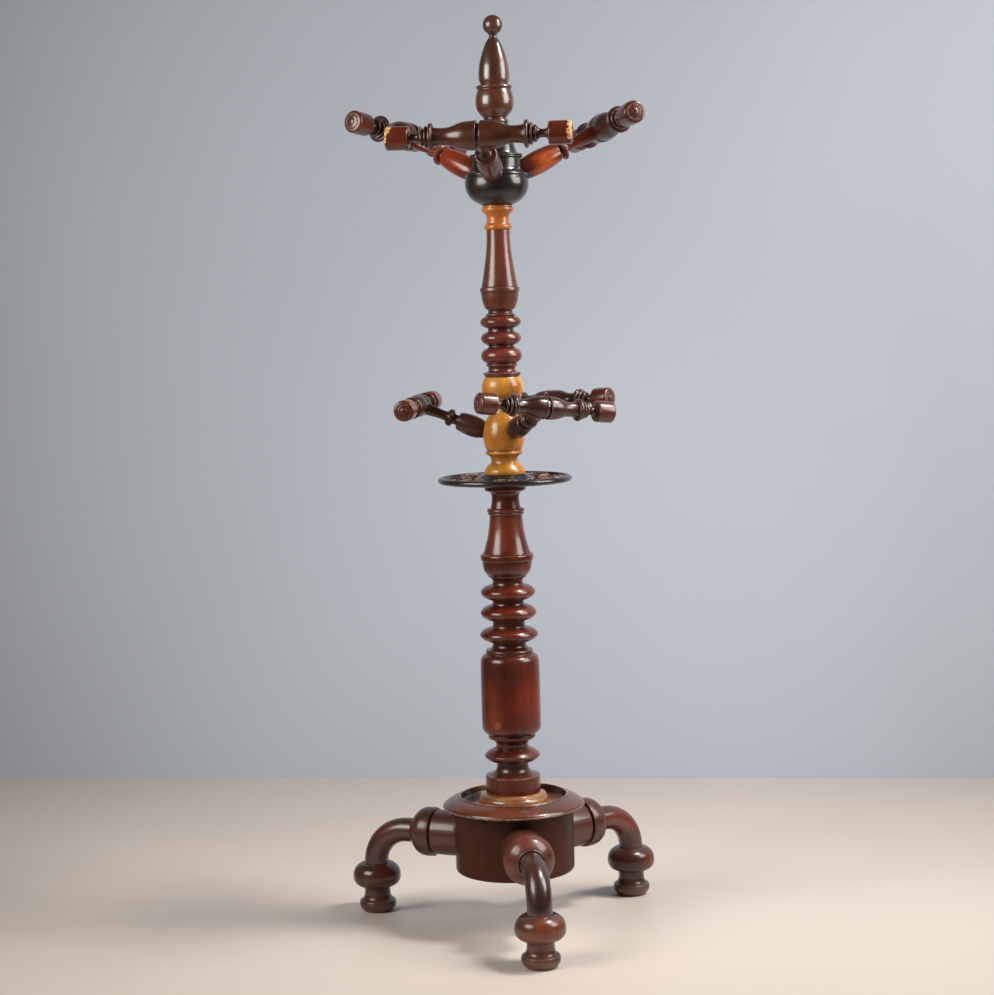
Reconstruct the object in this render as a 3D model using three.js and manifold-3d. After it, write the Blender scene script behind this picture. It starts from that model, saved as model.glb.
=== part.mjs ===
// Turned hall stand for coats and sticks: a stacked column on a drum base with three bent legs,
// a stick disc at half height, and two tiers of T-shaped pegs that swivel on the column.
// Millimetres, +Z up. The origin is on the floor, on the column's axis; -Y is the front.

import * as THREE from 'three';
import { mergeVertices } from 'three/addons/utils/BufferGeometryUtils.js';
import Module from 'manifold-3d';

const wasm = await Module();
wasm.setup();

// Clearances
const SEAT_GAP = 0.3;        // between faces that rest on each other, and round glued tenons
const PIVOT_GAP = 0.6;       // round the pin that a swivelling hub turns on

// Legs and feet
const LEG_AZIMUTHS = { front: -82, right: 38, left: 158 };
const LEG_SPREAD = 328.7;    // column axis to the middle of a foot
const LEG_RADIUS = 26;
const LEG_BEND = 76;         // radius of the bend, on the leg's axis
const LEG_TENON_RADIUS = 18;
const LEG_TENON_END = 62;    // how near to the column axis the tenon reaches
const FOOT_RADIUS = 52.5;
const FOOT_BALL_HEIGHT = 56;
const FOOT_PAD_RADIUS = 40.3;
const FOOT_NECK_RADIUS = 28.5;
const FOOT_DOWEL_RADIUS = 15;
const FOOT_DOWEL_LENGTH = 44;

// Drum, sockets and lid
const DRUM_CLEARANCE = 116;  // floor to the underside
const DRUM_RADIUS = 127;
const DRUM_HEIGHT = 134;
const DRUM_EDGE = 8;
const SLEEVE_RADIUS = 48;
const SLEEVE_SINK = 11;      // how deep a leg socket is let into the drum
const SLEEVE_REACH = 54;     // from the drum to the socket's collar
const COLLAR_RADIUS = 53;
const SOCKET_END = 238;      // column axis to the outer end of a leg socket
const LID_RADIUS = 151.7;
const LID_FLOOR = 11.7;      // thickness under the trough
const LID_LIP_RADIUS = 114;
const LID_LIP_WALL = 4;
const LID_LIP_HEIGHT = 29;
const LID_EDGE_RISE = 5;     // lid's underside to its outer edge
const MOULDING_RADIUS = 74;
const MOULDING_HEIGHT = 22.4;

// Column
const FOOT_TENON_RADIUS = 20;
const FOOT_TENON_LENGTH = 134;
const PLINTH_RADIUS = 58.2;
const PLINTH_HEIGHT = 35;
const BARREL_RADIUS = 62.8;
const BARREL_HEIGHT = 141;
const SEAT_RADIUS = 43.7;    // top of the lower spindle, under the disc
const PIN_RADIUS = 13;       // the pins that the hubs turn on
const PIN_SOCKET_DEPTH = 44;
const CUP_RADIUS = 56;
const HUB_RADIUS = 44;
const UPPER_FLANGE_RADIUS = 40.6;
const UPPER_CUP_RADIUS = 41.5;
const UPPER_TAPER_HEIGHT = 98;
const UPPER_NECK_RADIUS = 24.5;
const SPIGOT_RADIUS = 16;
const RING_COLLAR_RADIUS = 34;
const CROWN_RADIUS = 66.8;
const CROWN_BALL_HALF = 51.3;
const CROWN_PIN_DEPTH = 92;
const FINIAL_CUP_RADIUS = 40.1;
const FINIAL_DROP_RADIUS = 32.6;
const FINIAL_NECK_RADIUS = 8;
const FINIAL_BALL_RADIUS = 20.8;
const FINIAL_DOWEL_RADIUS = 9;
const FINIAL_DOWEL_LENGTH = 24;

// Stick disc
const DISC_RADIUS = 141.7;
const DISC_THICKNESS = 13;   // at the rim
const DISC_RECESS = 7;
const DISC_RIM_WIDTH = 12;
const DISC_BOSS_RADIUS = 50;
const DISC_BOSS_FOOT = 68;   // radius where the boss runs out on the face
const DISC_BOSS_RISE = 5;    // above the rim
const STICK_HOLES = 8;
const STICK_HOLE_PITCH = 97; // column axis to the middle of a hole
const STICK_RING_BORE = 21;
const STICK_RING_WALL = 3;
const STICK_RING_RISE = 6;

// Tiers of pegs. Azimuth, rise and twist are in degrees, as the pegs stand in use.
const UPPER = {
  reach: 271, half: 186, centre: 24, rim: 30, waist: 17.3, ringStart: 91.5, ring: 28, thin: 8.5,
  knob: 23.5, knobLength: 47, root: 17, barrel: 24.5, barrelStart: 56, shoulder: 75, belly: 106,
  barrelEnd: 152, collar: 23.5, collarStart: 160, collarEnd: 171, neck: 10, tip: 16,
  tenonStart: 34, tenon: 8.5,
  arms: {
    front: { azimuth: -97.5, rise: 17.5, twist: 0 },
    right: { azimuth: 20.5, rise: 25.5, twist: -6 },
    left: { azimuth: 140.5, rise: 25, twist: 8 },
  },
};
const LOWER = {
  reach: 194, half: 155, centre: 20, rim: 24, waist: 15, ringStart: 71, ring: 23, thin: 8,
  knob: 22, knobLength: 40, root: 15, barrel: 22.6, barrelStart: 38, shoulder: 51, belly: 73,
  barrelEnd: 103, collar: 19, collarStart: 115, collarEnd: 130, neck: 10, tip: 13,
  tenonStart: 20, tenon: 8,
  arms: {
    front: { azimuth: -61.5, rise: 20.5, twist: -6.5 },
    right: { azimuth: 54.5, rise: 20.5, twist: -3 },
    left: { azimuth: 171, rise: 21.5, twist: -1.5 },
  },
};
const PEG_TENON_DEPTH = 8;   // past the axis of the T-bar

// Coach screw that draws the column down on the drum
const SCREW_RADIUS = 5;
const SCREW_LENGTH = 70;
const SCREW_HEAD_RADIUS = 11;
const SCREW_HEAD_HEIGHT = 7;
const WASHER_RADIUS = 20;
const WASHER_THICKNESS = 3;
const SCREW_RECESS_RADIUS = 24;
const SCREW_RECESS_DEPTH = 15;

// Facets
const COLUMN_SIDES = 16;
const SPINDLE_SIDES = 16;
const DRUM_SIDES = 24;
const ARM_SIDES = 10;
const LEG_SIDES = 12;
const ARC_STEPS = 3;

const woods = {
  mahogany: new THREE.MeshStandardMaterial({ color: 0x6b2c1d, roughness: 0.3, metalness: 0 }),
  darkBase: new THREE.MeshStandardMaterial({ color: 0x4a2419, roughness: 0.42, metalness: 0 }),
  ochre: new THREE.MeshStandardMaterial({ color: 0xc98a3c, roughness: 0.3, metalness: 0 }),
  ebonised: new THREE.MeshStandardMaterial({ color: 0x24211f, roughness: 0.22, metalness: 0 }),
};
const steel = new THREE.MeshStandardMaterial({ color: 0x8c8a86, roughness: 0.4, metalness: 1 });

const radians = THREE.MathUtils.degToRad;

// The outline of a turned piece, as [radius, height] from the bottom up.
class Outline {
  constructor(radius, height = 0) {
    this.points = [[radius, height]];
  }

  get radius() { return this.points.at(-1)[0]; }

  get height() { return this.points.at(-1)[1]; }

  // straight cut to a radius, rising as well if asked
  to(radius, rise = 0) {
    this.points.push([radius, this.height + rise]);
    return this;
  }

  // straight up at the same radius
  up(rise) { return this.to(this.radius, rise); }

  // straight cut to a radius at a height of the outline
  at(radius, height) { return this.to(radius, height - this.height); }

  // quarter of an ellipse to a radius, rounded, or hollowed
  quarter(radius, rise, hollow = false, steps = ARC_STEPS) {
    const [r0, z0] = this.points.at(-1);
    const sidewaysFirst = (radius > r0) !== hollow;
    for (let i = 1; i <= steps; i += 1) {
      const a = (Math.PI / 2) * (i / steps);
      const [across, along] = sidewaysFirst ? [Math.sin(a), 1 - Math.cos(a)] : [1 - Math.cos(a), Math.sin(a)];
      this.points.push([r0 + (radius - r0) * across, z0 + rise * along]);
    }
    return this;
  }

  // half an ellipse out to a radius and back, as on a turned ring
  ring(radius, rise, steps = ARC_STEPS + 1) {
    const [r0, z0] = this.points.at(-1);
    for (let i = 1; i <= steps; i += 1) {
      const a = Math.PI * (i / steps);
      this.points.push([r0 + (radius - r0) * Math.sin(a), z0 + (rise * (1 - Math.cos(a))) / 2]);
    }
    return this;
  }

  // gentle curve to a radius, bowed out, or in with a negative bow
  bend(radius, rise, bow, steps = ARC_STEPS) {
    const [r0, z0] = this.points.at(-1);
    for (let i = 1; i <= steps; i += 1) {
      const t = i / steps;
      this.points.push([r0 + (radius - r0) * t + 4 * bow * t * (1 - t), z0 + rise * t]);
    }
    return this;
  }
}

// A closed mesh becomes a solid once its shared vertices are one.
function asSolid(geometry) {
  geometry.deleteAttribute('normal');
  geometry.deleteAttribute('uv');
  const merged = mergeVertices(geometry, 1e-4);
  const corners = merged.index.array;
  const kept = [];
  for (let i = 0; i < corners.length; i += 3) {
    const [a, b, c] = [corners[i], corners[i + 1], corners[i + 2]];
    if (a !== b && b !== c && c !== a) kept.push(a, b, c);
  }
  return new wasm.Manifold(new wasm.Mesh({
    numProp: 3,
    vertProperties: new Float32Array(merged.attributes.position.array),
    triVerts: new Uint32Array(kept),
  }));
}

// Solid of revolution about Z. An outline that doesn't start and end on the axis is closed to a ring.
function turned(outline, sides) {
  const points = outline.points.map(([r, z]) => new THREE.Vector2(r, z));
  if (outline.points[0][0] > 0) points.push(points[0].clone());
  return asSolid(new THREE.LatheGeometry(points, sides).rotateX(Math.PI / 2));
}

// Cylinder about Z from one height to another
const rod = (radius, from, to, sides) => turned(new Outline(0, from).to(radius).at(radius, to).to(0), sides);

// Turn a solid made about Z so that it lies along +X, and place it by a matrix.
const layDown = (solid) => solid.rotate([0, 90, 0]);
const placed = (solid, matrix) => solid.transform(matrix.elements);
const aimed = (azimuth, rise = 0, twist = 0, height = 0) => {
  const turn = new THREE.Euler(radians(twist), -radians(rise), radians(azimuth), 'ZYX');
  return new THREE.Matrix4().makeRotationFromEuler(turn).setPosition(0, 0, height);
};

function named(name, solid, material) {
  const { numProp, vertProperties, triVerts } = solid.getMesh();
  const geometry = new THREE.BufferGeometry();
  geometry.setAttribute('position', new THREE.BufferAttribute(new Float32Array(vertProperties), numProp));
  geometry.setIndex(new THREE.BufferAttribute(new Uint32Array(triVerts), 1));
  geometry.computeVertexNormals();
  const mesh = new THREE.Mesh(geometry, material);
  mesh.name = name;
  return mesh;
}

// Heights at which the pieces stand, each on the one below
const footHeight = () => footOutline().height;
const legAxisHeight = footHeight() + SEAT_GAP + LEG_BEND;
const drumTop = DRUM_CLEARANCE + DRUM_HEIGHT;
const lidBase = drumTop + SEAT_GAP;
const mouldingBase = lidBase + LID_FLOOR + SEAT_GAP;
const plinthBase = mouldingBase + MOULDING_HEIGHT + SEAT_GAP;

// Bun foot: a pad, a neck and a flattened ball
function footOutline() {
  return new Outline(0).to(30).quarter(FOOT_PAD_RADIUS, 20, false, 2).to(FOOT_PAD_RADIUS - 4, 8)
    .to(FOOT_NECK_RADIUS, 10).up(14).ring(FOOT_RADIUS, FOOT_BALL_HEIGHT, 6);
}

function foot() {
  const socketRadius = FOOT_DOWEL_RADIUS + SEAT_GAP;
  const outline = footOutline().to(socketRadius).to(socketRadius, -FOOT_DOWEL_LENGTH - 1).to(0);
  return turned(outline, LEG_SIDES);
}

// The leg's axis: straight out of its socket, round the bend and down to the foot
class LegAxis extends THREE.Curve {
  constructor(start) {
    super();
    this.start = start;
    this.straight = LEG_SPREAD - LEG_BEND - start;
    this.arc = (Math.PI / 2) * LEG_BEND;
  }

  getPoint(t, target = new THREE.Vector3()) {
    const along = t * (this.straight + this.arc);
    if (along <= this.straight) return target.set(this.start + along, 0, legAxisHeight);
    const a = (along - this.straight) / LEG_BEND;
    const centre = LEG_SPREAD - LEG_BEND;
    return target.set(centre + LEG_BEND * Math.sin(a), 0, legAxisHeight - LEG_BEND * (1 - Math.cos(a)));
  }
}

function leg() {
  const section = new THREE.Shape().absarc(0, 0, LEG_RADIUS, 0, 2 * Math.PI);
  const path = new LegAxis(SOCKET_END + SEAT_GAP);
  const tube = asSolid(new THREE.ExtrudeGeometry(section, {
    steps: 8, curveSegments: LEG_SIDES / 2, bevelEnabled: false, extrudePath: path,
  }));
  const tenon = layDown(rod(LEG_TENON_RADIUS, LEG_TENON_END, SOCKET_END + 6, LEG_SIDES));
  const dowelTop = footHeight() + 6;
  const dowel = rod(FOOT_DOWEL_RADIUS, footHeight() - FOOT_DOWEL_LENGTH, dowelTop, LEG_SIDES);
  return tube.add(tenon.translate([0, 0, legAxisHeight])).add(dowel.translate([LEG_SPREAD, 0, 0]));
}

// Turned socket that a leg comes out of: a sleeve let into the drum and a domed collar
function legSocket() {
  const inner = DRUM_RADIUS - SLEEVE_SINK + SEAT_GAP;
  const bore = LEG_TENON_RADIUS + SEAT_GAP;
  const outline = new Outline(bore, inner).to(SLEEVE_RADIUS).up(SLEEVE_SINK + SLEEVE_REACH)
    .to(COLLAR_RADIUS, 2).up(8);
  outline.quarter(LEG_RADIUS + 3, SOCKET_END - outline.height, false, 4).to(bore);
  return layDown(turned(outline, LEG_SIDES));
}

// Solid turned drum with a bore for the column, three for the legs and a recess for the screw
function drum() {
  const outline = new Outline(0, SCREW_RECESS_DEPTH).to(SCREW_RECESS_RADIUS)
    .to(SCREW_RECESS_RADIUS, -SCREW_RECESS_DEPTH).to(DRUM_RADIUS - DRUM_EDGE)
    .quarter(DRUM_RADIUS, DRUM_EDGE, false, 2).at(DRUM_RADIUS, DRUM_HEIGHT)
    .to(FOOT_TENON_RADIUS + SEAT_GAP)
    .at(FOOT_TENON_RADIUS + SEAT_GAP, tenonEnd - DRUM_CLEARANCE - SEAT_GAP).to(0);
  let body = turned(outline, DRUM_SIDES).translate([0, 0, DRUM_CLEARANCE]);
  body = body.subtract(rod(SCREW_RADIUS + SEAT_GAP, DRUM_CLEARANCE, drumTop, LEG_SIDES));
  const tenonHole = rod(LEG_TENON_RADIUS + SEAT_GAP, LEG_TENON_END - SEAT_GAP, 2 * DRUM_RADIUS, LEG_SIDES);
  const sleeveHole = rod(SLEEVE_RADIUS + SEAT_GAP, DRUM_RADIUS - SLEEVE_SINK, 2 * DRUM_RADIUS, LEG_SIDES);
  for (const azimuth of Object.values(LEG_AZIMUTHS)) {
    for (const hole of [tenonHole, sleeveHole]) {
      body = body.subtract(placed(layDown(hole), aimed(azimuth, 0, 0, legAxisHeight)));
    }
  }
  return body;
}

// Lid: a sharp-edged flange, a raised lip and the trough that catches drips
function lid() {
  const bore = FOOT_TENON_RADIUS + SEAT_GAP;
  const outline = new Outline(bore).to(DRUM_RADIUS - 3).to(LID_RADIUS - 1, LID_EDGE_RISE)
    .to(LID_RADIUS - 0.5, 2.5).bend(LID_LIP_RADIUS + 1, LID_LIP_HEIGHT - LID_EDGE_RISE - 6, 2.6)
    .at(LID_LIP_RADIUS, LID_LIP_HEIGHT).to(LID_LIP_RADIUS - LID_LIP_WALL)
    .at(LID_LIP_RADIUS - LID_LIP_WALL, LID_FLOOR).to(bore);
  return turned(outline, DRUM_SIDES);
}

const baseMoulding = () => turned(
  new Outline(FOOT_TENON_RADIUS + SEAT_GAP).to(MOULDING_RADIUS - 2).to(MOULDING_RADIUS, 3)
    .up(MOULDING_HEIGHT - 14).quarter(PLINTH_RADIUS + 2, 11).to(FOOT_TENON_RADIUS + SEAT_GAP),
  COLUMN_SIDES,
);

// Lower spindle, from the tenon in the drum to the seat under the disc
function lowerSpindle() {
  const screwHole = SCREW_RADIUS + SEAT_GAP;
  const outline = new Outline(0, SCREW_LENGTH - FOOT_TENON_LENGTH).to(screwHole)
    .to(screwHole, -SCREW_LENGTH).to(FOOT_TENON_RADIUS).up(FOOT_TENON_LENGTH);
  outline.to(PLINTH_RADIUS).up(PLINTH_HEIGHT).to(PLINTH_RADIUS - 6, 8).quarter(33.5, 12, true, 2)
    .up(9).ring(58.7, 31).up(7).quarter(48, 15, true, 2).quarter(BARREL_RADIUS, 21).up(BARREL_HEIGHT)
    .quarter(50, 18).up(3).quarter(35.5, 15, true, 2).up(8)
    .ring(61.8, 32).up(14).ring(59.2, 33).up(11).ring(57.6, 32).up(7).to(39, 9)
    .quarter(CUP_RADIUS - 3.5, 28).up(9).to(CUP_RADIUS, 2).up(9).to(CUP_RADIUS - 7.5, 6)
    .bend(34.5, 70, -2.4, 3).up(8).to(39.3, 3).up(11).to(31, 2).to(29.4, 20).to(40, 14)
    .to(SEAT_RADIUS, 2).up(17);
  const socket = PIN_RADIUS + SEAT_GAP;
  return outline.to(socket).to(socket, -PIN_SOCKET_DEPTH).to(0);
}

const lowerOutline = lowerSpindle();
const seatTop = Math.max(...lowerOutline.points.map(([, z]) => z));
const discBase = plinthBase + seatTop + SEAT_GAP;
const boss = DISC_THICKNESS + DISC_BOSS_RISE;
const hubBase = discBase + boss + SEAT_GAP;
const tenonEnd = plinthBase - FOOT_TENON_LENGTH;

// Stick disc: raised rim, recessed face, boss in the middle and a ring of holes
function stickDisc() {
  const bore = PIN_RADIUS + SEAT_GAP;
  const inside = DISC_RADIUS - DISC_RIM_WIDTH;
  const outline = new Outline(bore).to(DISC_RADIUS - 3).to(DISC_RADIUS, 3).up(DISC_THICKNESS - 6)
    .to(DISC_RADIUS - 3, 3).to(inside + 2).to(inside, -DISC_RECESS).to(DISC_BOSS_FOOT)
    .at(DISC_BOSS_RADIUS, boss).to(bore);
  let disc = turned(outline, DRUM_SIDES);
  const hole = rod(STICK_RING_BORE + STICK_RING_WALL + SEAT_GAP, -boss, 2 * boss, ARM_SIDES);
  for (const [x, y] of stickHoleCentres()) disc = disc.subtract(hole.translate([x, y, 0]));
  return disc;
}

function stickHoleCentres() {
  return Array.from({ length: STICK_HOLES }, (_, i) => {
    const a = (2 * Math.PI * i) / STICK_HOLES;
    return [STICK_HOLE_PITCH * Math.cos(a), STICK_HOLE_PITCH * Math.sin(a)];
  });
}

// Turned ring let into a stick hole, standing a little above the disc's face
function stickRing() {
  const height = DISC_THICKNESS - DISC_RECESS + STICK_RING_RISE;
  const outline = new Outline(STICK_RING_BORE).to(STICK_RING_BORE + STICK_RING_WALL).up(height)
    .to(STICK_RING_BORE);
  return turned(outline, ARM_SIDES);
}

// Two arms meet a hub in a counterbore for the barrel's root and a hole for its tenon.
function drillForArms(hub, tier, centreHeight) {
  const counterbore = rod(tier.root + SEAT_GAP, tier.barrelStart - SEAT_GAP, tier.barrelEnd, ARM_SIDES);
  const tenonHole = rod(tier.tenon + SEAT_GAP, tier.tenonStart - SEAT_GAP, tier.barrelEnd, ARM_SIDES);
  let drilled = hub;
  for (const { azimuth, rise, twist } of Object.values(tier.arms)) {
    for (const hole of [counterbore, tenonHole]) {
      drilled = drilled.subtract(placed(layDown(hole), aimed(azimuth, rise, twist, centreHeight)));
    }
  }
  return drilled;
}

// Middle hub: bell, neck, ring, egg, waist and ball
const EGG_BELLY = 78;        // hub's underside to its widest
function midHubOutline() {
  const bell = new Outline(PIN_RADIUS + PIVOT_GAP).to(HUB_RADIUS - 1.4).up(9)
    .quarter(27.8, 20, true, 2).up(5).to(39.2, 10).up(5).to(36, 2);
  return bell.quarter(HUB_RADIUS, EGG_BELLY - bell.height).quarter(25.5, 57).up(28)
    .quarter(HUB_RADIUS - 0.9, 21).quarter(37, 20, false, 2);
}
const midHub = () => turned(midHubOutline().to(PIN_RADIUS + PIVOT_GAP), COLUMN_SIDES);
const hubTop = hubBase + midHubOutline().height;
const armCentreLow = hubBase + EGG_BELLY - 2;
const upperBase = hubTop + SEAT_GAP;

// Upper spindle: its pin runs down through the middle hub and the disc into the lower spindle.
const upperBody = (outline) => outline.to(UPPER_FLANGE_RADIUS).up(8).to(28.2, 9).to(32.6, 6).up(3).to(28, 3)
  .ring(43.3, 31).up(6).ring(42.4, 28).up(7).ring(43.2, 28).to(31.5, 1).up(2).to(25.8, 2).up(5).to(31, 2)
  .quarter(UPPER_CUP_RADIUS - 2, 31).to(UPPER_CUP_RADIUS, 4).up(8).to(UPPER_CUP_RADIUS - 4, 8)
  .bend(UPPER_NECK_RADIUS, UPPER_TAPER_HEIGHT, -2.6, 4).up(17);
const upperTop = upperBase + upperBody(new Outline(0)).height;
const ringCollarBase = upperTop + SEAT_GAP;

// Ochre collar between the upper spindle and the crown
const ringCollarOutline = () => new Outline(SPIGOT_RADIUS + SEAT_GAP).to(27).to(28.8, 4).up(4)
  .to(23.8, 11).up(8).to(RING_COLLAR_RADIUS, 12).to(RING_COLLAR_RADIUS - 1, 6).to(RING_COLLAR_RADIUS - 2, 4.5)
  .to(SPIGOT_RADIUS + SEAT_GAP);
const crownBase = ringCollarBase + ringCollarOutline().height + SEAT_GAP;

function upperSpindle() {
  const pinEnd = discBase - PIN_SOCKET_DEPTH + 1 - upperBase;
  const outline = new Outline(0, pinEnd).to(PIN_RADIUS).up(-pinEnd);
  upperBody(outline).to(SPIGOT_RADIUS).up(ringCollarOutline().height)
    .to(PIN_RADIUS).up(CROWN_PIN_DEPTH).to(0);
  return turned(outline, SPINDLE_SIDES);
}

// Crown hub: ball, cove, neck, ring and bell, bored from below for the pin and from above for the finial
const BALL_START = radians(61.3); // the ball's flat underside is cut here
const ballDrop = CROWN_BALL_HALF * Math.sin(BALL_START);
function crownOutline() {
  const bore = PIN_RADIUS + PIVOT_GAP;
  const outline = new Outline(0, CROWN_PIN_DEPTH + 2).to(bore).to(bore, -CROWN_PIN_DEPTH - 2);
  const steps = 6;
  for (let i = 0; i <= steps; i += 1) {
    const a = -BALL_START + (i / steps) * (BALL_START + radians(14));
    outline.points.push([CROWN_RADIUS * Math.cos(a), ballDrop + CROWN_BALL_HALF * Math.sin(a)]);
  }
  return outline.to(CROWN_RADIUS - 1.2, 4).quarter(51, 22, true).up(14).to(55, 2).up(6).to(43, 3)
    .bend(28, 61, -2.5);
}

const crownTop = crownBase + crownOutline().height;
const armCentreHigh = crownBase + ballDrop;

function crownHub() {
  const socket = FINIAL_DOWEL_RADIUS + SEAT_GAP;
  const outline = crownOutline().to(socket).to(socket, -FINIAL_DOWEL_LENGTH - 1).to(0);
  return turned(outline, COLUMN_SIDES);
}

// Finial: a cup with a flange, and a drop with a ball on it
const finialCupOutline = () => new Outline(0, -FINIAL_DOWEL_LENGTH).to(FINIAL_DOWEL_RADIUS)
  .up(FINIAL_DOWEL_LENGTH).to(27).up(8).to(23.5, 2).quarter(FINIAL_CUP_RADIUS, 29).up(9)
  .bend(34.9, 22, 0.9, 2).to(FINIAL_CUP_RADIUS - 2.2, 2).up(6);
const cupBase = crownTop + SEAT_GAP;
const dropBase = cupBase + finialCupOutline().height + SEAT_GAP;

function finialCup() {
  const socket = FINIAL_DOWEL_RADIUS + SEAT_GAP;
  return turned(finialCupOutline().to(socket).to(socket, -FINIAL_DOWEL_LENGTH - 1).to(0), SPINDLE_SIDES);
}

function finialDrop() {
  const outline = new Outline(0, -FINIAL_DOWEL_LENGTH).to(FINIAL_DOWEL_RADIUS).up(FINIAL_DOWEL_LENGTH)
    .to(27.5).bend(FINIAL_DROP_RADIUS, 23, 1.6, 2).bend(FINIAL_NECK_RADIUS, 75, 4.8, 4).up(6.7);
  const start = Math.acos(FINIAL_NECK_RADIUS / FINIAL_BALL_RADIUS);
  const centre = outline.height + FINIAL_BALL_RADIUS * Math.sin(start);
  const steps = 5;
  for (let i = 1; i <= steps; i += 1) {
    const a = -start + (i / steps) * (start + Math.PI / 2);
    const r = i === steps ? 0 : FINIAL_BALL_RADIUS * Math.cos(a);
    outline.points.push([r, centre + FINIAL_BALL_RADIUS * Math.sin(a)]);
  }
  return turned(outline, SPINDLE_SIDES);
}

// Half of a T-bar, from its middle groove to its end: rim, baluster, two rings, bead, thin neck and knob
function halfBar(tier) {
  return new Outline(tier.centre, 3.5).to(tier.rim, 2).bend(tier.waist, tier.ringStart * 0.68, 2.2, 4)
    .at(tier.waist + 0.7, tier.ringStart - 2).to(tier.ring, 2).up(8).to(tier.ring * 0.7, 1.5)
    .to(tier.ring * 0.8, 1.5).up(4.5).to(tier.waist - 3, 1.5).to(tier.waist, 1.5).up(5.5)
    .to(tier.thin, 4).at(tier.thin, tier.half - tier.knobLength).to(tier.knob, 1)
    .at(tier.knob, tier.half - 4).at(tier.knob - 3, tier.half).to(0);
}

function pegBar(tier) {
  const half = halfBar(tier).points;
  const whole = new Outline(0, -tier.half);
  whole.points.push(...half.slice(0, -1).reverse().map(([r, z]) => [r, -z]), ...half);
  const socket = layDown(rod(tier.tenon + SEAT_GAP, -2 * tier.rim, PEG_TENON_DEPTH + SEAT_GAP, ARM_SIDES));
  return turned(whole, ARM_SIDES).rotate([-90, 0, 0]).subtract(socket);
}

// Spoke: tenon, rounded barrel, groove, sharp collar and a neck that is shaped to the T-bar
function spoke(tier) {
  const { root, barrel, shoulder, belly, barrelEnd, collar, collarEnd, neck, tip, reach } = tier;
  const groove = neck + 2.5;
  const body = new Outline(0, tier.barrelStart).to(root).at(root, shoulder)
    .quarter(barrel, belly - shoulder).bend(barrel * 0.84, barrelEnd - belly, 1.2, 3)
    .to(groove, 1.5).at(groove, tier.collarStart).to(collar, 2).at(collar, collarEnd - 4)
    .to(neck, 4).bend(tip, reach - collarEnd, 0.6, 2).to(0);
  const across = rod(tier.rim + SEAT_GAP, -3 * tier.rim, 3 * tier.rim, ARM_SIDES).rotate([90, 0, 0]);
  const tenon = rod(tier.tenon, tier.tenonStart, reach + PEG_TENON_DEPTH, ARM_SIDES);
  return layDown(turned(body, ARM_SIDES)).subtract(across.translate([reach, 0, 0])).add(layDown(tenon));
}

// A tier of arms round the column: each arm is a group that lies along +X before it is turned.
function tierOfArms(level, tier, centreHeight) {
  const group = new THREE.Group();
  for (const [side, { azimuth, rise, twist }] of Object.entries(tier.arms)) {
    const arm = new THREE.Group();
    arm.position.z = centreHeight;
    arm.rotation.set(radians(twist), -radians(rise), radians(azimuth), 'ZYX');
    const bar = named(`${level}_peg_bar_${side}`, pegBar(tier), woods.mahogany);
    bar.position.x = tier.reach;
    arm.add(named(`${level}_spoke_${side}`, spoke(tier), woods.mahogany), bar);
    group.add(arm);
  }
  return group;
}

const rack = new THREE.Group();
rack.name = 'coat_rack';

// Adds a mesh to the rack at a height on the column's axis.
function stand(name, solid, material, height = 0) {
  const mesh = named(name, solid, material);
  mesh.position.z = height;
  rack.add(mesh);
}

for (const [side, azimuth] of Object.entries(LEG_AZIMUTHS)) {
  const corner = new THREE.Group();
  corner.rotation.z = radians(azimuth);
  const socket = named(`leg_socket_${side}`, legSocket(), woods.darkBase);
  socket.position.z = legAxisHeight;
  const bun = named(`foot_${side}`, foot(), woods.mahogany);
  bun.position.x = LEG_SPREAD;
  corner.add(socket, named(`leg_${side}`, leg(), woods.mahogany), bun);
  rack.add(corner);
}

stand('drum', drum(), woods.darkBase);
stand('lid', lid(), woods.darkBase, lidBase);
stand('base_moulding', baseMoulding(), woods.ochre, mouldingBase);
stand('lower_spindle', turned(lowerOutline, COLUMN_SIDES), woods.mahogany, plinthBase);
stand('stick_disc', stickDisc(), woods.ebonised, discBase);
stickHoleCentres().forEach(([x, y], i) => {
  const ring = named(`stick_ring_${i + 1}`, stickRing(), woods.mahogany);
  ring.position.set(x, y, discBase);
  rack.add(ring);
});
stand('middle_hub', drillForArms(midHub(), LOWER, armCentreLow - hubBase), woods.ochre, hubBase);
stand('upper_spindle', upperSpindle(), woods.mahogany, upperBase);
stand('ring_collar', turned(ringCollarOutline(), SPINDLE_SIDES), woods.ochre, ringCollarBase);
stand('crown_hub', drillForArms(crownHub(), UPPER, armCentreHigh - crownBase), woods.ebonised, crownBase);
stand('finial_cup', finialCup(), woods.mahogany, cupBase);
stand('finial_drop', finialDrop(), woods.mahogany, dropBase);
rack.add(tierOfArms('lower', LOWER, armCentreLow), tierOfArms('upper', UPPER, armCentreHigh));

// Screw and washer under the drum
const recessTop = DRUM_CLEARANCE + SCREW_RECESS_DEPTH;
const washerBase = recessTop - SEAT_GAP - WASHER_THICKNESS;
const headBase = washerBase - SEAT_GAP - SCREW_HEAD_HEIGHT;
const washer = new Outline(SCREW_RADIUS + SEAT_GAP).to(WASHER_RADIUS).up(WASHER_THICKNESS)
  .to(SCREW_RADIUS + SEAT_GAP);
stand('base_washer', turned(washer, LEG_SIDES), steel, washerBase);
const head = rod(SCREW_HEAD_RADIUS, 0, SCREW_HEAD_HEIGHT, 6);
const shankTop = tenonEnd + SCREW_LENGTH - 1 - headBase;
const shank = rod(SCREW_RADIUS, SCREW_HEAD_HEIGHT / 2, shankTop, LEG_SIDES);
stand('base_screw', head.add(shank), steel, headBase);

export default rack;
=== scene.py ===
"""The coat rack as it looks: varnished turned wood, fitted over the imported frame."""

import math

import bpy
from mathutils import Matrix, Vector


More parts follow.
